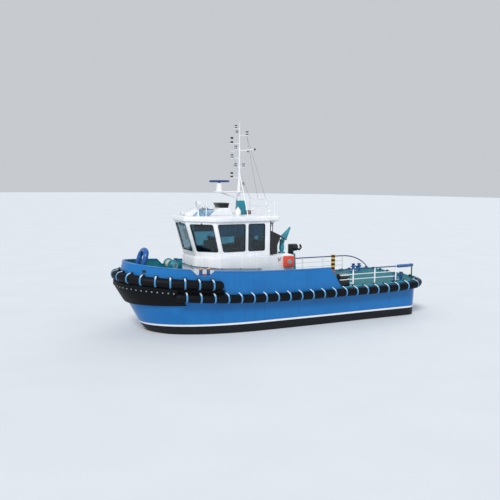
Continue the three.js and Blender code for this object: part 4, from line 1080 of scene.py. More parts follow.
# Stove-enamelled aluminium blind slats. The eye sees a deep sea-blue with even vertical ribs.
blind_slats = patterned_finish("enamelled_blind_slats", ("Noise", {"Scale": 3, "Detail": 4}),
                               ("087c9c", "1092b4"), {"Roughness": 0.8})
BLIND = {"low": 4.5, "high": 5.12, "pleat": 0.075, "deep": 0.012, "thick": 0.006, "y": 1.51}
blinds = []
for side in (1, -1):
    for aft, fore in ((1.1, 2.06), (2.18, 3.55)):
        count = round((fore - aft) / BLIND["pleat"] * 4)
        front = [(aft + (fore - aft) * k / count, side * (BLIND["y"] + BLIND["deep"] * sin(pi * k / 2)))
                 for k in range(count + 1)]
        back = [(x, y - side * BLIND["thick"]) for x, y in reversed(front)]
        blinds.append(prism(front + back, BLIND["low"], BLIND["high"], "XY"))
add_piece("side_blinds", blind_slats, blinds)

# Wheelhouse door
# A steel leaf in a rubber seal hangs on two lift-off hinges at its starboard edge and has one glazed light.
door_body = "wheelhouse_door"
add_piece("door_leaf", white_enamel, "wheelhouse_door", bevel=0.006, body=door_body)
DOOR_LIGHT = {"x": 0.775, "y": (-0.81, -0.4), "z": (4.25, 4.95), "half_pane": 0.006, "rounding": 0.05}
(door_y0, door_y1), (door_z0, door_z1) = DOOR_LIGHT["y"], DOOR_LIGHT["z"]
light_quad = [Vector((DOOR_LIGHT["x"], y, z)) for y, z in (
    (door_y0, door_z0), (door_y1, door_z0), (door_y1, door_z1), (door_y0, door_z1))]
half_pane = Vector(AHEAD) * DOOR_LIGHT["half_pane"]
add_piece("door_light", glass, [
    loft([[point - half_pane for point in light_quad], [point + half_pane for point in light_quad]])],
    body=door_body)
door_ring = rounded_ring(light_quad, DOOR_LIGHT["rounding"])
add_piece("door_light_channel", channel_rubber, [
    sweep([point + Vector(AHEAD) * depth for point in door_ring], 0.014, 8, closed=True)
    for depth in (-0.026, 0.018)], body=door_body)

# Helm and seat
# A moulded console with screens, a small wheel and two throttle levers faces the front windows. One padded
# seat with armrests stands on a pedestal behind it.
def moulded_plastic(name, dark, light, rough):
    """Grained injection-moulded plastic. The eye sees an even dark tone with a fine leather-like grain."""
    return patterned_finish(name, ("Voronoi", {"Scale": 160}), (light, dark), {"Roughness": rough},
                            relief=(0.3, 0.003))


console_plastic = moulded_plastic("grained_console_plastic", "101216", "24282e", 0.5)
seat_leather = moulded_plastic("grained_seat_leather", "1a1c20", "34373d", 0.55)
add_piece("console_moulding", console_plastic, "helm_console", bevel=0.03, segments=4)


def upright(x, y, low, high, radius, sides):
    """A round bar that stands at one place."""
    return sweep([(x, y, low), (x, y, high)], radius, sides)


SEAT = {"x": 2.1, "floor": 3.0503, "under": 3.615, "column": 0.06, "foot": 0.23, "foot_thick": 0.03,
        "arm": 0.29}
seat_parts = [upright(SEAT["x"], 0, SEAT["floor"], SEAT["under"], SEAT["column"], 24),
              upright(SEAT["x"], 0, SEAT["floor"], SEAT["floor"] + SEAT["foot_thick"], SEAT["foot"], 32)]
# Pan, back plate, armrests and their brackets. Columns: aft and fore, middle, half breadth, low and high
for run, middle, half, height in (
        ((1.83, 2.32), 0, 0.2, (SEAT["under"] - 0.02, SEAT["under"] + 0.01)),
        ((1.795, 1.82), 0, 0.16, (SEAT["under"] - 0.02, 4.2)),
        ((1.86, 2.26), SEAT["arm"], 0.04, (3.93, 3.99)), ((1.86, 2.26), -SEAT["arm"], 0.04, (3.93, 3.99)),
        ((1.84, 1.9), SEAT["arm"], 0.03, (3.72, 3.95)), ((1.84, 1.9), -SEAT["arm"], 0.03, (3.72, 3.95))):
    seat_parts.append(box_shape(run, (middle - half, middle + half), height))
add_piece("seat_frame", console_plastic, seat_parts, ["helm_seat"], bevel=0.012, segments=3)


def cushion(middle, half, thin):
    """A crowned pad with square-round sides: its faces swell between the edges and pull in at the seam. The
    thin axis is the one that the pad is sewn round, 0 for X and 2 for Z."""
    broad = [axis for axis in (0, 1, 2) if axis != thin]
    rings, seam = [], []
    # Columns: share of the half thickness, share of the half width
    for rise, reach in ((-1.0, 0.3), (-0.97, 0.6), (-0.86, 0.85), (-0.6, 0.97), (-0.2, 1.0), (0.0, 0.98),
                        (0.2, 1.0), (0.6, 0.97), (0.86, 0.85), (0.97, 0.6), (1.0, 0.3)):
        ring = []
        for k in range(44):
            c, s = cos(2 * pi * k / 44), sin(2 * pi * k / 44)
            square = (abs(c) ** 5 + abs(s) ** 5) ** -0.2
            point = Vector(middle)
            point[thin] += half[thin] * rise
            point[broad[0]] += half[broad[0]] * reach * square * c
            point[broad[1]] += half[broad[1]] * reach * square * s
            ring.append(point)
        rings.append(ring)
        if rise == 0.0:
            seam = ring
    return [loft(rings), sweep(seam, 0.005, 8, closed=True)]


pads = cushion((2.11, 0, 3.68), (0.25, 0.25, 0.058), 2) + cushion((1.862, 0, 4.03), (0.042, 0.24, 0.32), 0)
seat_pads = add_piece("seat_cushions", seat_leather, pads)
SCREENS = {"outline": ((3.12, 4.12), (3.16, 4.12), (3.22, 4.38), (3.18, 4.38)), "wide": 0.36,
           "edges": (-0.62, -0.18, 0.26)}
screens = [prism(SCREENS["outline"], y, y + SCREENS["wide"]) for y in SCREENS["edges"]]
add_piece("console_screens", console_plastic, screens, bevel=0.012)
WHEEL = {"middle": (2.76, 0.0, 4.04), "boss": (2.88, 0, 3.98), "radius": 0.17, "points": 28,
         "spokes": (7, 16, 26)}
rim = circle(WHEEL["middle"], PORT, (0.5, 0, 0.866), WHEEL["radius"], WHEEL["points"])
helm_parts = [sweep(rim, 0.014, 10, closed=True), sweep([WHEEL["middle"], WHEEL["boss"]], 0.022, 12)]
helm_parts += [sweep([WHEEL["middle"], rim[k]], 0.009, 8) for k in WHEEL["spokes"]]
# The two throttle levers
helm_parts += [sweep([(2.98, y, 4.04), (2.93, y, 4.2)], 0.012, 8, round_ends=True) for y in (-0.34, -0.28)]
add_piece("helm_wheel", galvanised, helm_parts)

# Painted shade in the cabin: dark vinyl sheets on the floor of the well, its sides and the walls below the
# windows stand for the unlit cabin's shade
CABIN = {"aft": 0.905, "fore": 3.445, "aft_wall": 0.862, "well_half": 1.396, "half": 1.538, "thick": 0.008,
         "floor": 3.0508, "ledge": 3.5035, "sill": 3.76, "aft_sill": 4.12, "aft_y": (-0.2, 1.518)}
cabin_painted_shade_vinyl = moulded_plastic("ribbed_cabin_painted_shade_vinyl", "14191e", "242b32", 0.6)
cabin_run, well_inside = (CABIN["aft"], CABIN["fore"]), CABIN["well_half"] - CABIN["thick"]
painted_shade_lining = [box_shape(cabin_run, (-CABIN["well_half"], CABIN["well_half"]),
                    (CABIN["floor"], CABIN["floor"] + CABIN["thick"])),
          box_shape((CABIN["aft_wall"], CABIN["aft_wall"] + CABIN["thick"]), CABIN["aft_y"],
                    (CABIN["ledge"], CABIN["aft_sill"]))]
for side in (1, -1):
    # Columns: inner and outer breadth, low and high
    for inner, outer, low, high in (
            (well_inside, CABIN["well_half"], CABIN["floor"], CABIN["ledge"]),
            (CABIN["half"] - CABIN["thick"], CABIN["half"], CABIN["ledge"], CABIN["sill"]),
            (well_inside, CABIN["half"], CABIN["ledge"], CABIN["ledge"] + CABIN["thick"])):
        painted_shade_lining.append(box_shape(cabin_run, sorted((side * inner, side * outer)), (low, high)))
add_piece("cabin_lining", cabin_painted_shade_vinyl, painted_shade_lining, bevel=0.003, segments=1)

# Wheelhouse roof
# A flat steel roof with a rolled edge overhangs the walls. Brackets carry its deeper aft overhang.
ROOF = {"low": 5.2003, "top": 5.44, "aft": 0.36, "over": 0.09}
roof_half = [(ROOF["aft"], HOUSE["half"] + ROOF["over"]),
             (HOUSE_FRONT["corner"], HOUSE["half"] + ROOF["over"]),
             (HOUSE_FRONT["x"] + ROOF["over"], HOUSE_FRONT["half"])]
roof_plan = roof_half + [(x, -y) for x, y in reversed(roof_half)]
add_piece("roof_plate", white_enamel, [prism(roof_plan, ROOF["low"], ROOF["top"], "XY")],
          ["wheelhouse_roof"], bevel=0.055, segments=6, angle=20)
ROOF_BRACKET = {"outline": ((0.46, 5.2), (0.8, 5.2), (0.8, 4.86)), "half": 0.015, "y": (-1.5, 0.5, 1.5)}
roof_brackets = [prism(ROOF_BRACKET["outline"], y - ROOF_BRACKET["half"], y + ROOF_BRACKET["half"])
                 for y in ROOF_BRACKET["y"]]
add_piece("roof_brackets", white_enamel, roof_brackets, bevel=0.004, segments=1)

# Bitts
# Twin tube posts are welded to a base plate on each side, in the bulwark's notches and at the stern. Mooring
# lines take turns round them under the rims. The heads are capped in paint that marks each pair.
bitt_blue = marine_enamel("bitt_blue_enamel", "1b68b4", "104680", gloss=0.3)
yellow_enamel = marine_enamel("safety_yellow_enamel", "f5b81c", "d8920c", gloss=0.32)
red_enamel = marine_enamel("signal_red_enamel", "c8262a", "8e1518", gloss=0.34)
# Columns: node, x, y, half spacing, radius, height, bar height, finish of the port heads
BITTS = (("bitts_fore", 4.53, 2.0, 0.19, 0.08, 1.13, 0.82, yellow_enamel),
         ("bitts_aft", -6.9, 1.9, 0.2, 0.085, 0.42, 0.26, black_gear))
# Thickness of the caps, and shares: caps and plate by the post's radius, bar and plate by the half spacing
BITT = {"cap": 0.04, "cap_wide": 1.3, "plate_wide": 1.6, "bar_reach": 1.9, "plate_reach": 2,
        "bar_radius": 0.037}
for node, x, y, spacing, radius, height, bar, port_heads in BITTS:
    for side, half in ((1, "_port"), (-1, "_stbd")):
        foot, top = deck_height(x - spacing) - 0.02, deck_height(x) + height
        cap_foot, bar_z, bar_half = top - BITT["cap"], deck_height(x) + bar, spacing * BITT["bar_reach"]
        middle_y = side * y
        plate_half, plate_wide = spacing * BITT["plate_reach"], radius * BITT["plate_wide"]
        posts = [sweep([(x - bar_half, middle_y, bar_z), (x + bar_half, middle_y, bar_z)],
                       BITT["bar_radius"], 16)]
        posts += [upright(at, middle_y, foot, cap_foot, radius, 28) for at in (x - spacing, x + spacing)]
        posts.append(box_shape((x - plate_half, x + plate_half),
                               (middle_y - plate_wide, middle_y + plate_wide),
                               (deck_height(x - plate_half) - 0.01, deck_height(x + plate_half) + 0.03)))
        heads = [upright(at, middle_y, cap_foot, top, radius * BITT["cap_wide"], 28)
                 for at in (x - spacing, x + spacing)]
        add_piece(node + "_posts" + half, bitt_blue, posts, [node + half], bevel=0.01)
        add_piece(node + "_heads" + half, port_heads if side > 0 else black_gear, heads,
                  bevel=0.012)
stopper_z = deck_height(BITTS[0][1]) + BITTS[0][6]
add_piece("stopper_sleeve", red_enamel, [
    sweep([(4.45, 2.0, stopper_z), (4.61, 2.0, stopper_z)], 0.052, 20)], bevel=0.008)

# Bow staple
# One thick pipe bent to an arch, raked aft and welded to the deck through doubler rings. It leads the towing
# line over the bow.
STAPLE = {"foot": 7.25, "top": 6.72, "half": 0.38, "high": 3.85, "radius": 0.125, "ring": 0.175}
staple_foot = deck_height(STAPLE["foot"])
leg = [(STAPLE["foot"], STAPLE["half"], staple_foot - 0.02),
       (STAPLE["top"] + 0.08, STAPLE["half"], STAPLE["high"] - 0.2),
       (STAPLE["top"], STAPLE["half"] - 0.2, STAPLE["high"])]
arch = leg + [(x, -y, z) for x, y, z in reversed(leg)]
staple_blue = marine_enamel("staple_blue_enamel", "1160b0", "0b4686", gloss=0.26)
rings = [sweep([(STAPLE["foot"], y, staple_foot - 0.02), (STAPLE["foot"] - 0.012, y, staple_foot + 0.035)],
               STAPLE["ring"], 32) for y in (STAPLE["half"], -STAPLE["half"])]
add_piece("staple_pipe", staple_blue,
          [sweep(bent(arch, 0.16, 8), STAPLE["radius"], 28), *rings],
          ["bow_staple"], bevel=0.008)

# Windlass
# A fabricated teal frame holds a cast drum between two cheeks, with a warping head outside on its shaft. The
# drum carries the towing line in close turns.
gear_teal = marine_enamel("deck_machinery_teal_enamel", "1d93a6", "0b687c", gloss=0.34)
WINDLASS = {"x": 5.42, "z": 3.12, "drum": 0.16}
add_piece("windlass_cheeks", gear_teal, "windlass_frame", bevel=0.02, segments=3)
# Columns: place along the shaft, radius
DRUM_PROFILE = ((-0.52, 0.045), (-0.3, 0.045), (-0.3, 0.26), (-0.27, 0.26), (-0.26, 0.16), (0.26, 0.16),
                (0.27, 0.26), (0.3, 0.26), (0.3, 0.045), (0.4, 0.045), (0.4, 0.19), (0.43, 0.19), (0.46, 0.13),
                (0.51, 0.115), (0.56, 0.13), (0.59, 0.19), (0.62, 0.19))


def turned(profile, middle, axis, sides=40):
    """A body turned about an axis, from its places along the axis and its radii there."""
    axis = Vector(axis)
    side = axis.orthogonal().normalized()
    return loft([circle(Vector(middle) + axis * at, side, axis.cross(side), radius, sides)
                 for at, radius in profile])


shaft = (WINDLASS["x"], 0, WINDLASS["z"])
add_piece("windlass_barrel", gear_teal, [turned(DRUM_PROFILE, shaft, PORT)],
          ["windlass_drum"], bevel=0.006, body="windlass_drum")


# Plaited synthetic mooring rope. The eye sees a chalky pale fibre with grey in the lay.
rope = patterned_finish("plaited_mooring_rope", ("Wave", {"Scale": 14, "Distortion": 3, "Detail": 2}),
                        ("8f8b80", "e4dfd0"), {"Roughness": 0.85}, relief=(0.5, 0.006))
ROPE = {"radius": 0.018, "turns": 13, "steps": 26}
wound = []
for k in range(ROPE["turns"] * ROPE["steps"] + 1):
    turn = 2 * pi * k / ROPE["steps"]
    along = -0.24 + 0.48 * k / (ROPE["turns"] * ROPE["steps"])
    reach = WINDLASS["drum"] + ROPE["radius"] * 0.9
    wound.append((WINDLASS["x"] + reach * cos(turn), along, WINDLASS["z"] + reach * sin(turn)))
add_piece("windlass_rope", rope, [sweep(wound, ROPE["radius"], 8)], body="windlass_drum")
add_piece("warping_head_cap", galvanised, [
    turned(((0.615, 0.14), (0.628, 0.13), (0.628, 0.07), (0.618, 0.06)), shaft, PORT)], body="windlass_drum")

# Foredeck hatch
# A welded coaming with a steel lid on two pin hinges, pulled down on a rubber seal by four dogs.
add_piece("hatch_coaming", deck_teal, "fore_hatch", bevel=0.008)
add_piece("hatch_lid", deck_teal, "fore_hatch_lid", bevel=0.01, body="fore_hatch_lid")
dogs = [turned(((0.0, 0.035), (0.02, 0.035), (0.03, 0.02), (0.035, 0.01)), (x, y, 2.46), UP, 16)
        for x in (6.14, 6.6) for y in (-0.24, 0.24)]
add_piece("hatch_dogs", galvanised, dogs, body="fore_hatch_lid")

# Side rails
# Each aft side has a dark blue pipe rail on white stanchions with black feet, and two white rails under it.
# The starboard rail sweeps down to the deck; the port rail ends on a black post, inside a padded sleeve.
RAIL = {"y": 2.45, "top": 2.7, "lower": (2.43, 2.18), "start": -2.15, "lower_start": -2.75, "radius": 0.032,
        "post": 0.036, "foot": 0.12, "foot_radius": 0.05}
STANCHIONS = (-3.57, -4.93, -6.3)
RAIL_ENDS = {
    "port": ((-7.0, 2.45, 2.7), (-7.4, 2.4, 2.71)),
    "stbd": ((-6.45, 2.45, 2.7), (-6.9, 2.45, 2.64), (-7.26, 2.43, 2.53), (-7.54, 2.32, 2.37),
             (-7.72, 2.15, 2.17), (-7.81, 2.02, 1.97)),
}
for side, half in SIDES:
    top_line = [(RAIL["start"], RAIL["y"], RAIL["top"]), *RAIL_ENDS[half]]
    top_line = [(x, side * y, z) for x, y, z in top_line]
    add_piece("top_rail_" + half, rail_blue,
              [sweep(bent(top_line, 0.3), RAIL["radius"], 16, round_ends=True)], ["side_rail_" + half])
    whites, feet = [], []
    for x in STANCHIONS:
        deck = deck_height(x)
        whites.append(upright(x, side * RAIL["y"], deck, RAIL["top"], RAIL["post"], 16))
        feet.append(upright(x, side * RAIL["y"], deck, deck + RAIL["foot"], RAIL["foot_radius"], 16))
    for z in RAIL["lower"]:
        whites.append(sweep([(RAIL["lower_start"], side * RAIL["y"], z),
                             (STANCHIONS[2], side * RAIL["y"], z)], 0.02, 12))
    add_piece("stanchions_" + half, white_enamel, whites)
    if side > 0:
        end_x, end_y, end_z = RAIL_ENDS["port"][1]
        feet.append(upright(end_x, end_y, deck_height(end_x), end_z, RAIL["radius"], 16))
    add_piece("stanchion_feet_" + half, black_gear, feet, bevel=0.006)
SLEEVE = {"from": -6.45, "radius": 0.085}
sleeve_blue = marine_enamel("padded_sleeve_vinyl", "2468a8", "174a80", gloss=0.45)
sleeve_path = bent([(SLEEVE["from"], RAIL["y"], RAIL["top"]), *RAIL_ENDS["port"]], 0.2)
add_piece("rail_sleeve", sleeve_blue,
          [sweep(sleeve_path, SLEEVE["radius"], 20, round_ends=True)])

# Deck locker
# A black welded box on the port side deck for the rescue gear, with a pale strip under its lid that is a
# painted highlight along its top edge, and one round catch.
LOCKER = {"x": (-3.44, -2.88), "y": (1.95, 2.33), "low": 1.8003, "top": 2.44}
pale_paint_and_highlight = marine_enamel("pale_cyan_enamel_and_painted_highlight", "bfe3ee", "97cbdd", gloss=0.3)
add_piece("locker_case", black_gear, [
    box_shape(LOCKER["x"], LOCKER["y"], (LOCKER["low"], LOCKER["top"]))], ["deck_locker"], bevel=0.015,
    segments=3)
aft, fore = LOCKER["x"]
back, front = LOCKER["y"]
# The pale strip is a painted highlight along the box's top edge; the same pale paint makes the round catch and
# the vent cap.
add_piece("locker_strip", pale_paint_and_highlight, [
    box_shape((aft + 0.03, fore - 0.03), (front - 0.01, front + 0.006),
              (LOCKER["top"] - 0.085, LOCKER["top"] - 0.03)),
    turned(((0.0, 0.035), (0.012, 0.032), (0.016, 0.02)), (aft + 0.08, front, 2.2), PORT, 20)], bevel=0.003,
    segments=1)
add_piece("locker_hinges", galvanised, [
    turned(((-0.05, 0.014), (0.05, 0.014)), (x, back - 0.004, LOCKER["top"] - 0.05), AHEAD, 12)
    for x in (-3.3, -3.02)])

# Striped post and deck fittings
# A tube post on the starboard side deck is banded yellow and black, with an orange foot ring. Beside it
# stands a small black cleat, and a round pale vent cap stands inside the port rail.
BANDS = {"pitch": 0.235, "yellow": 0.105}


def banded_enamel():
    """Yellow enamel with masked black bands. The eye sees crisp level stripes, a little chipped."""
    finish, tree, shader, place = new_finish("banded_yellow_and_black_enamel")
    height = add_node(tree, "ShaderNodeSeparateXYZ", "Z", {"Vector": place})
    chips = add_node(tree, "ShaderNodeTexNoise", "Fac", {"Vector": place, "Scale": 18, "Detail": 6})
    wander = add_node(tree, "ShaderNodeMath", "Value", {0: chips, 1: 0.01}, operation="MULTIPLY")
    level = add_node(tree, "ShaderNodeMath", "Value", {0: height, 1: wander}, operation="ADD")
    phase = add_node(tree, "ShaderNodeMath", "Value", {0: level, 1: BANDS["pitch"]}, operation="MODULO")
    dark = add_node(tree, "ShaderNodeMath", "Value", {0: phase, 1: BANDS["yellow"]},
                    operation="GREATER_THAN")
    tone = add_node(tree, "ShaderNodeMix", "Result", {
        "Factor": dark, "A": linear("e2b23a"), "B": linear("1c1a1c")}, data_type="RGBA")
    dulling = add_node(tree, "ShaderNodeMapRange", "Result", {"Value": chips, "To Min": 0.35, "To Max": 0.6})
    plug(tree, shader, {"Base Color": tone, "Roughness": dulling})
    return finish


POST = {"x": -5.47, "y": -2.18, "radius": 0.11, "top": 2.83, "ring": 0.1485, "ring_high": 0.08}
post_foot = deck_height(POST["x"])
add_piece("banded_post", banded_enamel(), [
    upright(POST["x"], POST["y"], post_foot, POST["top"], POST["radius"], 32)], ["striped_post"],
    bevel=0.02, segments=3)
add_piece("post_foot_ring", orange_moulding, [
    upright(POST["x"], POST["y"], post_foot, post_foot + POST["ring_high"], POST["ring"], 32)], bevel=0.012)
CLEAT = {"x": -5.12, "high": 0.14, "half": 0.14, "horn_rise": 0.05}
cleat_top = post_foot + CLEAT["high"]
cleat_horns = [(CLEAT["x"] + across * CLEAT["half"], POST["y"], cleat_top + rise) for across, rise in (
    (-1, CLEAT["horn_rise"]), (0, 0), (1, CLEAT["horn_rise"]))]
add_piece("deck_cleat", black_gear, [
    upright(CLEAT["x"], POST["y"], post_foot, cleat_top, 0.035, 16),
    sweep(cleat_horns, 0.028, 12, round_ends=True)])
VENT = (-3.62, 2.2)
add_piece("vent_cap", pale_paint_and_highlight, [
    turned(((0.0, 0.11), (0.02, 0.11), (0.02, 0.07), (0.1, 0.07), (0.1, 0.12), (0.14, 0.11), (0.17, 0.05)),
           (*VENT, deck_height(VENT[0])), UP, 32)])

# Engine-room air intake
# A black steel cowl stands against the wheelhouse's aft wall, with louvre slats across its sloped back.
add_piece("intake_cowl", black_gear, "air_intake", bevel=0.02, segments=3)
INTAKE = {"low": (0.15, 3.95), "high": (-0.05, 4.42), "y": (0.56, 1.09), "slats": 7}
# One slat's section, aft and up from its place on the slope
SLAT = ((0.02, 0), (-0.022, -0.03), (-0.028, -0.018), (0.02, 0.018))
slats = []
for k in range(INTAKE["slats"]):
    x, z = Vector(INTAKE["low"]).lerp(INTAKE["high"], (k + 0.5) / INTAKE["slats"])
    slats.append(prism([(x + dx, z + dz) for dx, dz in SLAT], *INTAKE["y"]))
add_piece("intake_slats", black_gear, slats)

# Ladder
# Two bent tubes with round rungs go from the deckhouse top to the wheelhouse roof.
LADDER = {"x": 0.69, "y": (1.29, 1.57), "foot": 3.503, "top": 5.09, "wall": 0.799, "rungs": 5,
          "lowest": 3.78, "step": 0.29}
stiles = [sweep(bent([(LADDER["x"], y, LADDER["foot"]), (LADDER["x"], y, LADDER["top"]),
                      (LADDER["wall"], y, LADDER["top"])], 0.06), 0.019, 12) for y in LADDER["y"]]
rungs = [sweep([(LADDER["x"], y, LADDER["lowest"] + k * LADDER["step"]) for y in LADDER["y"]], 0.014, 10)
         for k in range(LADDER["rungs"])]
dark_steel = marine_enamel("dark_bitumen_coated_steel", "24282e", "121418", gloss=0.5)
add_piece("ladder_frame", dark_steel, stiles + rungs, ["ladder"])

# Fire monitor
# A teal cast water cannon stands on a flanged riser on the deckhouse. Its yoke slews on the riser and its
# barrel, a wide cone drawn in to the nozzle, tips between the yoke's cheeks.
MONITOR = {"x": -0.23, "y": 0.9, "foot": 3.5003, "ring": 3.7, "pivot": 4.12, "elevation": 55, "bolts": 8,
           "bolt_circle": 0.142, "flange": 0.05}
riser_high = MONITOR["ring"] - MONITOR["foot"]
add_piece("monitor_riser", gear_teal, [
    turned(((0.0, 0.175), (MONITOR["flange"], 0.175), (MONITOR["flange"], 0.1), (0.16, 0.1), (0.165, 0.115),
            (riser_high, 0.115)), (MONITOR["x"], MONITOR["y"], MONITOR["foot"]), UP)], ["monitor_base"],
            bevel=0.005)
half_step = pi / MONITOR["bolts"]
flange_top = (MONITOR["x"], MONITOR["y"], MONITOR["foot"] + MONITOR["flange"])
bolt_places = circle(flange_top, (cos(half_step), sin(half_step), 0), (-sin(half_step), cos(half_step), 0),
                     MONITOR["bolt_circle"], MONITOR["bolts"])
add_piece("riser_bolts", galvanised, [
    turned(((0.0, 0.016), (0.018, 0.016), (0.022, 0.01)), place, UP, 6) for place in bolt_places])
add_piece("monitor_yoke", gear_teal, "monitor_body",
          bevel=0.012, segments=3, body="monitor_body")
aim = Vector((-cos(radians(MONITOR["elevation"])), 0, sin(radians(MONITOR["elevation"]))))
pivot = (MONITOR["x"], MONITOR["y"], MONITOR["pivot"])
BARREL_PROFILE = ((-0.11, 0.078), (-0.1, 0.082), (0.1, 0.082), (0.115, 0.062), (0.15, 0.062), (0.15, 0.172),
                  (0.158, 0.18), (0.18, 0.178), (0.6, 0.086), (0.74, 0.055), (0.745, 0.062), (0.77, 0.062),
                  (0.775, 0.046), (0.82, 0.038), (0.83, 0.036))
add_piece("monitor_cone", gear_teal, [
    turned(BARREL_PROFILE, pivot, aim), turned(((-0.14, 0.03), (0.14, 0.03)), pivot, PORT, 24)],
          ["monitor_barrel"], body="monitor_barrel")
HAND_WHEEL = {"out": 0.155, "radius": 0.075}
hand_wheel = circle(Vector(pivot) + Vector(PORT) * HAND_WHEEL["out"], AHEAD, UP, HAND_WHEEL["radius"], 20)
add_piece("monitor_hand_wheel", black_gear, [
    sweep(hand_wheel, 0.009, 8, closed=True), sweep([hand_wheel[0], hand_wheel[10]], 0.007, 8),
    sweep([hand_wheel[5], hand_wheel[15]], 0.007, 8)], body="monitor_barrel")

# Towing hook
# A teal welded post behind the deckhouse carries a black cast hook that swings on an upright pin.
add_piece("tow_post_plate", gear_teal, "tow_post", bevel=0.015, segments=3)
add_piece("tow_hook_casting", black_gear, "tow_hook", bevel=0.022,
          segments=3, angle=25, body="tow_hook")

# Roof gear
# A white pyramid on the wheelhouse roof carries a black louvred cowl. In front of it is a pale blue
# skylight, and aft of it a teal cabinet at the mast's foot and a black battery box.
PYRAMID = {"half": 0.42, "outline": ((3.6, 5.4403), (2.99, 5.8), (2.46, 5.8), (2.26, 5.4403))}
COWL = {"half": 0.3, "foot": 5.79, "high": 0.245, "spread": 0.1, "slats": 5, "first": 5.82, "step": 0.04,
        "outline": ((2.92, 5.79), (3.05, 6.035), (2.43, 6.035), (2.5, 5.79))}
add_piece("mast_pyramid", white_enamel,
          [prism(PYRAMID["outline"], -PYRAMID["half"], PYRAMID["half"])], ["mast_base"], bevel=0.03,
          segments=4)
add_piece("louvred_cowl", black_gear,
          [prism(COWL["outline"], -COWL["half"], COWL["half"])], bevel=0.012)
cowl_slats = []
for k in range(COWL["slats"]):
    z = COWL["first"] + COWL["step"] * k
    spread = COWL["spread"] * (z - COWL["foot"]) / COWL["high"]
    for side in (1, -1):
        face = side * (COWL["half"] + 0.004)
        lip = face + side * 0.018
        section = [(face, z), (lip, z - 0.014), (lip, z - 0.004), (face, z + 0.012)]
        cowl_slats.append(prism(section, 2.53 - spread * 0.5, 2.9 + spread, "YZ"))
add_piece("cowl_slats", channel_rubber, cowl_slats)
pale_blue = marine_enamel("pale_blue_skylight_enamel", "a9d0e8", "86b6d6", gloss=0.16)
SKYLIGHT = {"half": 0.4,
            "outline": [(4.44, 5.4403), (4.08, 5.745), (3.29, 5.745), (3.61, 5.4403)],
            "visor": [(4.7, 5.4403), (4.66, 5.56), (4.1, 5.795), (4.07, 5.765), (4.45, 5.4403)]}
add_piece("skylight_shell", pale_blue,
          [prism(SKYLIGHT["outline"], -SKYLIGHT["half"], SKYLIGHT["half"])], ["skylight"], bevel=0.02,
          segments=3)
add_piece("skylight_visor", white_enamel,
          [prism(SKYLIGHT["visor"], -SKYLIGHT["half"] - 0.03, SKYLIGHT["half"] + 0.03)], bevel=0.015,
          segments=3)
# A dark line runs along the visor's aft edge and on along the skylight's top edge, on each side.
dark_line_path = ((4.42, 5.47), (4.07, 5.74), (3.3, 5.74))
add_piece("skylight_gasket", channel_rubber, [
    sweep(bent([(x, y, z) for x, z in dark_line_path], 0.03), 0.011, 8)
    for y in (SKYLIGHT["half"], -SKYLIGHT["half"])])
add_piece("roof_lantern", white_enamel, [
    turned(((0.0, 0.13), (0.02, 0.145), (0.16, 0.15), (0.26, 0.12), (0.36, 0.035), (0.4, 0.02)),
           (2.02, 0.43, 5.441),
           UP, 32)], bevel=0.006)
add_piece("mast_cabinet", gear_teal, "mast_foot_box", bevel=0.02, segments=3)
cabinet_door = [box_shape((1.5, 1.8), (0.188, 0.196), (5.52, 6.06)),
                turned(((-0.04, 0.012), (0.04, 0.012)), (1.53, 0.2, 5.8), UP, 10)]
add_piece("cabinet_door", gear_teal, cabinet_door, bevel=0.006)
add_piece("battery_case", black_gear, "battery_box", bevel=0.02, segments=3)
switch_place = (1.1, -0.16, 5.54)
add_piece("battery_switch", red_enamel, [
    turned(((0.0, 0.045), (0.02, 0.045), (0.03, 0.03)), switch_place, PORT, 24)])
add_piece("battery_switch_plate", white_enamel, [
    turned(((0.0, 0.062), (0.006, 0.062)), switch_place, PORT, 24)])

# Roof rail
# A white tube rail stands across the aft edge of the roof, with flanged feet and a round box on its top bar.
ROOF_RAIL = {"x": 0.45, "half": 1.3, "posts": (-1.3, -0.43, 0.43, 1.3), "bars": (6.18, 5.83), "foot": 5.4403,
             "radius": 0.021}
roof_bars = [upright(ROOF_RAIL["x"], y, ROOF_RAIL["foot"], ROOF_RAIL["bars"][0], ROOF_RAIL["radius"], 12)
             for y in ROOF_RAIL["posts"]]
for z in ROOF_RAIL["bars"]:
    ends = [(ROOF_RAIL["x"], y, z) for y in (-ROOF_RAIL["half"], ROOF_RAIL["half"])]
    roof_bars.append(sweep(ends, ROOF_RAIL["radius"], 12, round_ends=True))
roof_bars += [turned(((0.0, 0.05), (0.012, 0.05)), (ROOF_RAIL["x"], y, ROOF_RAIL["foot"]), UP, 16)
              for y in ROOF_RAIL["posts"]]
add_piece("roof_rail_tubes", white_enamel, roof_bars, ["roof_rail"])
junction = (ROOF_RAIL["x"] - 0.03, ROOF_RAIL["posts"][2], ROOF_RAIL["bars"][1] + 0.12)
add_piece("rail_junction_box", white_enamel, [
    turned(((-0.03, 0.06), (0.0, 0.075), (0.03, 0.06)), junction, AHEAD, 24)], bevel=0.004)

# Deck floodlights
# Small round floodlights face forward and aft on short stems on the roof, with clear lenses in white bodies.
# Moulded clear acrylic. The eye sees a bright pale lens with ribs in it.
lens = patterned_finish("ribbed_clear_acrylic", ("Wave", {"Scale": 26}, None, {"bands_direction": "Z"}),
                        ("c4d3dc", "eef4f7"), {"Roughness": 0.12, "Transmission Weight": 0.35})
ROOF_FACE = 5.441
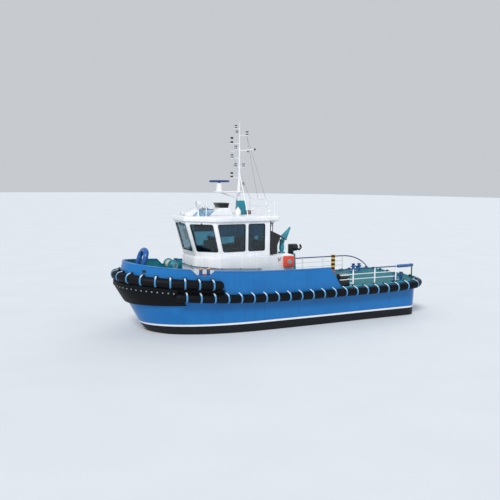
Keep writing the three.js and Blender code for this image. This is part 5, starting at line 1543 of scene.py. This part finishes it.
# Columns: x, y, height of the lamp, way it faces, size
FLOODLIGHTS = ((4.83, 0.0, 5.56, 1, 0.085), (3.89, 0.75, 5.92, 1, 0.07), (0.5, 0.86, 5.62, -1, 0.07),
               (0.5, -0.86, 5.62, -1, 0.07))
bodies, glasses = [], []
for x, y, z, way, size in FLOODLIGHTS:
    bodies.append(upright(x, y, ROOF_FACE, z - size * 0.6, 0.02, 12))
    bodies.append(turned(((0.0, 0.055), (0.015, 0.055)), (x, y, ROOF_FACE), UP, 16))
    # Columns of both profiles: place along the lamp's axis, radius
    body_profile = ((-0.09, size * 0.45), (-0.06, size * 0.8), (0.04, size), (0.06, size))
    glass_profile = ((0.055, size * 0.9), (0.066, size * 0.86), (0.072, size * 0.5))
    bodies.append(turned(body_profile, (x, y, z), (way, 0, 0), 28))
    glasses.append(turned(glass_profile, (x, y, z), (way, 0, 0), 28))
add_piece("floodlight_bodies", white_enamel, bodies)
add_piece("floodlight_lenses", lens, glasses)
HORN = {"x": 3.89, "y": 0.62, "z": 5.8, "stem_x": 3.84}
HORN_PROFILE = ((-0.16, 0.035), (-0.12, 0.035), (-0.1, 0.02), (0.02, 0.024), (0.1, 0.05), (0.14, 0.085))
add_piece("air_horn", galvanised, [
    turned(HORN_PROFILE, (HORN["x"], HORN["y"], HORN["z"]), AHEAD, 24),
    upright(HORN["stem_x"], HORN["y"], ROOF_FACE, HORN["z"] - 0.01, 0.016, 10)])

# Searchlight
# A drum-shaped lamp on a turning stem, white outside, with a clear glass in its wider front.
LIGHT = {"x": 4.25, "y": 0.62, "z": 6.01, "foot": 5.4403, "joint": 5.78}
stem_profile = ((0.0, 0.09), (0.025, 0.09), (0.025, 0.035), (LIGHT["joint"] - LIGHT["foot"], 0.035))
add_piece("searchlight_stem", white_enamel, [
    turned(stem_profile, (LIGHT["x"], LIGHT["y"], LIGHT["foot"]), UP, 28)], ["searchlight_stand"],
    bevel=0.004)
lamp_middle = (LIGHT["x"], LIGHT["y"], LIGHT["z"])
LAMP_PROFILE = ((-0.11, 0.09), (-0.105, 0.12), (0.085, 0.163), (0.085, 0.17), (0.108, 0.17), (0.108, 0.158),
                (0.09, 0.15))
add_piece("searchlight_drum", white_enamel, [
    turned(LAMP_PROFILE, lamp_middle, AHEAD),
    upright(LIGHT["x"], LIGHT["y"], LIGHT["joint"] + 0.0003, LIGHT["z"] - 0.1, 0.034, 16)], ["searchlight"],
    body="searchlight")
add_piece("searchlight_glass", lens, [
    turned(((0.088, 0.152), (0.1, 0.146), (0.107, 0.08)), lamp_middle, AHEAD)], body="searchlight")

# Mast
# A tapered white tube with raking legs carries the navigation lamps on short brackets, a yard and a whip
# aerial. Wire stays come down to the roof rail.
MAST = {"x": 1.75, "radius": 0.06, "foot": 6.1303, "cross": 8.6, "head": 8.77, "tip": 10.01}
mast_white = marine_enamel("mast_white_enamel", "f6f7f9", "e0e4ea", gloss=0.3, peel=0.04)
pole = (MAST["x"], 0, MAST["foot"])
mast_tubes = [
    turned(((0.0, MAST["radius"]), (MAST["head"] - MAST["foot"], 0.038)), pole, UP, 24),
    turned(((0.0, 0.026), (MAST["tip"] - MAST["head"], 0.012)), (MAST["x"], 0, MAST["head"]), UP, 16),
    sweep([(MAST["x"], -0.95, MAST["cross"] - 0.04), (MAST["x"], 1.62, MAST["cross"] + 0.05)], 0.028, 14,
          round_ends=True),
    box_shape((MAST["x"] - 0.06, 3.04), (-0.22, 0.22), (6.555, 6.6))]
for side in (1, -1):
    mast_tubes.append(sweep([(2.85, side * 0.15, 6.565), (MAST["x"], 0, 6.23)], 0.024, 12))
    mast_tubes.append(sweep([(MAST["x"], 0, 7.6), (MAST["x"] - 0.147, side * 0.687, 5.4403)], 0.026, 12))
# Columns: height, forward of the pole, to port, height of the lamp
LAMPS = ((6.88, -0.19, 0.06, 0.15), (7.28, 0.42, 0, 0.26), (7.82, 0.22, 0, 0.15), (7.82, -0.2, 0.06, 0.15),
         (8.25, 0.42, 0, 0.16), (8.69, 0.21, 0, 0.15), (8.96, 0.43, 0, 0.3), (9.38, -0.38, 0.06, 0.18),
         (9.44, 0.16, 0, 0.14), (9.7, 0.21, 0, 0.15))
BRACKET_DROP = 0.02
lamp_rims, lamp_lenses = [], []
for z, forward, port, height in LAMPS:
    place = (MAST["x"] + forward, port, z)
    mast_tubes.append(sweep([(MAST["x"], 0, z - BRACKET_DROP),
                             (MAST["x"] + forward, port, z - BRACKET_DROP)], 0.016, 10))
    # Columns: where it goes, profile along the lamp's height
    for group, profile in (
            (mast_tubes, ((-0.03, 0.085), (0.0, 0.085))),
            (lamp_rims, ((0.0, 0.078), (height * 0.34, 0.056))),
            (lamp_rims, ((height * 0.68, 0.056), (height, 0.078))),
            (lamp_lenses, ((height * 0.28, 0.046), (height * 0.4, 0.053), (height * 0.6, 0.053),
                           (height * 0.74, 0.046)))):
        group.append(turned(profile, place, UP, 20))
add_piece("mast_tubes", mast_white, mast_tubes, ["mast"], bevel=0.004, segments=1)
add_piece("lamp_housings", black_gear, lamp_rims, bevel=0.004, segments=1)
add_piece("lamp_lenses", lens, lamp_lenses)
knob = (MAST["x"], 1.6, MAST["cross"] + 0.05)
add_piece("yard_fittings", black_gear, [
    turned(((-0.05, 0.03), (0.0, 0.055), (0.05, 0.03)), knob, PORT, 16),
    turned(((-0.11, 0.02), (-0.08, 0.035), (-0.03, 0.03)), (MAST["x"], 0.9, MAST["cross"] + 0.02), UP, 16)])
# Columns: from, to
STAYS = (((1.39, 0.05, 9.35), (0.45, 0.43, 6.19)), ((1.39, 0.05, 9.35), (0.45, -0.43, 6.19)),
         ((1.75, -0.93, 8.57), (0.45, -1.28, 6.17)))
add_piece("wire_stays", galvanised, [sweep([low, high], 0.008, 6) for low, high in STAYS])

# Radar
# A white cast pedestal on the mast's platform turns a long navy scanner with rounded ends.
RADAR = {"x": 2.85, "foot": 6.6003, "top": 7.0, "length": 1.08}
add_piece("radar_casting", white_enamel, [
    turned(((0.0, 0.165), (0.03, 0.165), (0.04, 0.15), (0.3, 0.13), (0.36, 0.13), (0.4, 0.1)),
           (RADAR["x"], 0, RADAR["foot"]), UP)], ["radar_pedestal"], bevel=0.006)


# Gel-coated glassfibre. The eye sees a deep glossy navy with an even skin.
gelcoat = patterned_finish("navy_gelcoat_shell", ("Noise", {"Scale": 4, "Detail": 3}), ("0b2a60", "154386"),
                           {"Roughness": 0.18, "Coat Weight": 0.5})

scanner_half = RADAR["length"] / 2
# Columns: place along x, half breadth, low and high. The last three mirror the first three
SCANNER = ((-scanner_half, 0.03, 0.07, 0.12), (-scanner_half + 0.03, 0.05, 0.045, 0.145),
           (-0.1, 0.055, 0.04, 0.15), (0.1, 0.055, 0.04, 0.15),
           (scanner_half - 0.03, 0.05, 0.045, 0.145), (scanner_half, 0.03, 0.07, 0.12))
scanner_sections = []
for x, half, low, high in SCANNER:
    corners = ((-half, low + 0.02), (-half * 0.6, low), (half * 0.6, low), (half, low + 0.02),
               (half, high - 0.02), (half * 0.6, high), (-half * 0.6, high), (-half, high - 0.02))
    scanner_sections.append([(RADAR["x"] + x, y, RADAR["top"] + z) for y, z in corners])
add_piece("radar_bar", gelcoat, [
    loft(scanner_sections), turned(((0.001, 0.06), (0.05, 0.055)), (RADAR["x"], 0, RADAR["top"]), UP, 28)],
          ["radar_scanner"], body="radar_scanner")

# Shafts, propellers and rudders
# Each steel shaft runs in a bearing on a strut to a four-bladed bronze propeller. A plate rudder with a cast
# stock hangs behind it. Below the waterline the steel is coated black.
# Sea-worn cast bronze. The eye sees a warm gold, browner and duller in patches where growth starts.
bronze = patterned_finish(
    "sea_worn_cast_bronze", ("Noise", {"Scale": 5, "Detail": 8, "Roughness": 0.65}), ("6d4a22", "d9a958"),
    {"Metallic": 0.95}, rough={"To Min": 0.5, "To Max": 0.22})
SCREW = {"x": -6.35, "y": 1.25, "z": -1.28, "radius": 0.6, "blades": 4}
HUB_PROFILE = ((-0.23, 0.03), (-0.2, 0.06), (-0.12, 0.098), (0.0, 0.1), (0.16, 0.1))


def blade_shape(turn, side):
    """One blade: a rounded paddle that thins from root to tip and twists as it goes out."""
    middle = Vector((SCREW["x"], side * SCREW["y"], SCREW["z"]))
    rings = []
    for share in (0.12, 0.25, 0.4, 0.55, 0.7, 0.83, 0.93, 0.985):
        reach = SCREW["radius"] * share
        chord = 0.155 * min(1.0, 0.62 + 0.9 * share) * max(0.06, 1 - share ** 5) ** 0.5
        thick = 0.026 * (1.05 - share) + 0.003
        twist = radians(62 - 38 * share)
        ring = []
        ring = []
        for k in range(16):
            phase = 2 * pi * k / 16
            across, deep = chord * cos(phase), thick * sin(phase)
            y = side * (across * sin(twist) - deep * cos(twist))
            ring.append(middle + Vector((across * cos(twist) + deep * sin(twist),
                                         y * cos(turn) - reach * sin(turn),
                                         y * sin(turn) + reach * cos(turn))))
        rings.append(ring)
    return loft(rings)


for side, half in SIDES:
    middle = (SCREW["x"], side * SCREW["y"], SCREW["z"])
    blades = [blade_shape(2 * pi * k / SCREW["blades"] + pi / 4, side) for k in range(SCREW["blades"])]
    add_piece("screw_" + half, bronze,
              [turned(HUB_PROFILE, middle, AHEAD), *blades], ["propeller_" + half], body="propeller_" + half)
    add_piece("shaft_line_" + half, galvanised, "shaft_bracket_" + half, bevel=0.006,
              segments=1)
    add_piece("rudder_blade_" + half, topside_enamel, "rudder_" + half, bevel=0.006,
              segments=2, body="rudder_" + half)

# Both boxes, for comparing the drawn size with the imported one
boxes = [[[float(value) for value in corner] for corner in box] for box in (cad_box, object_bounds())]
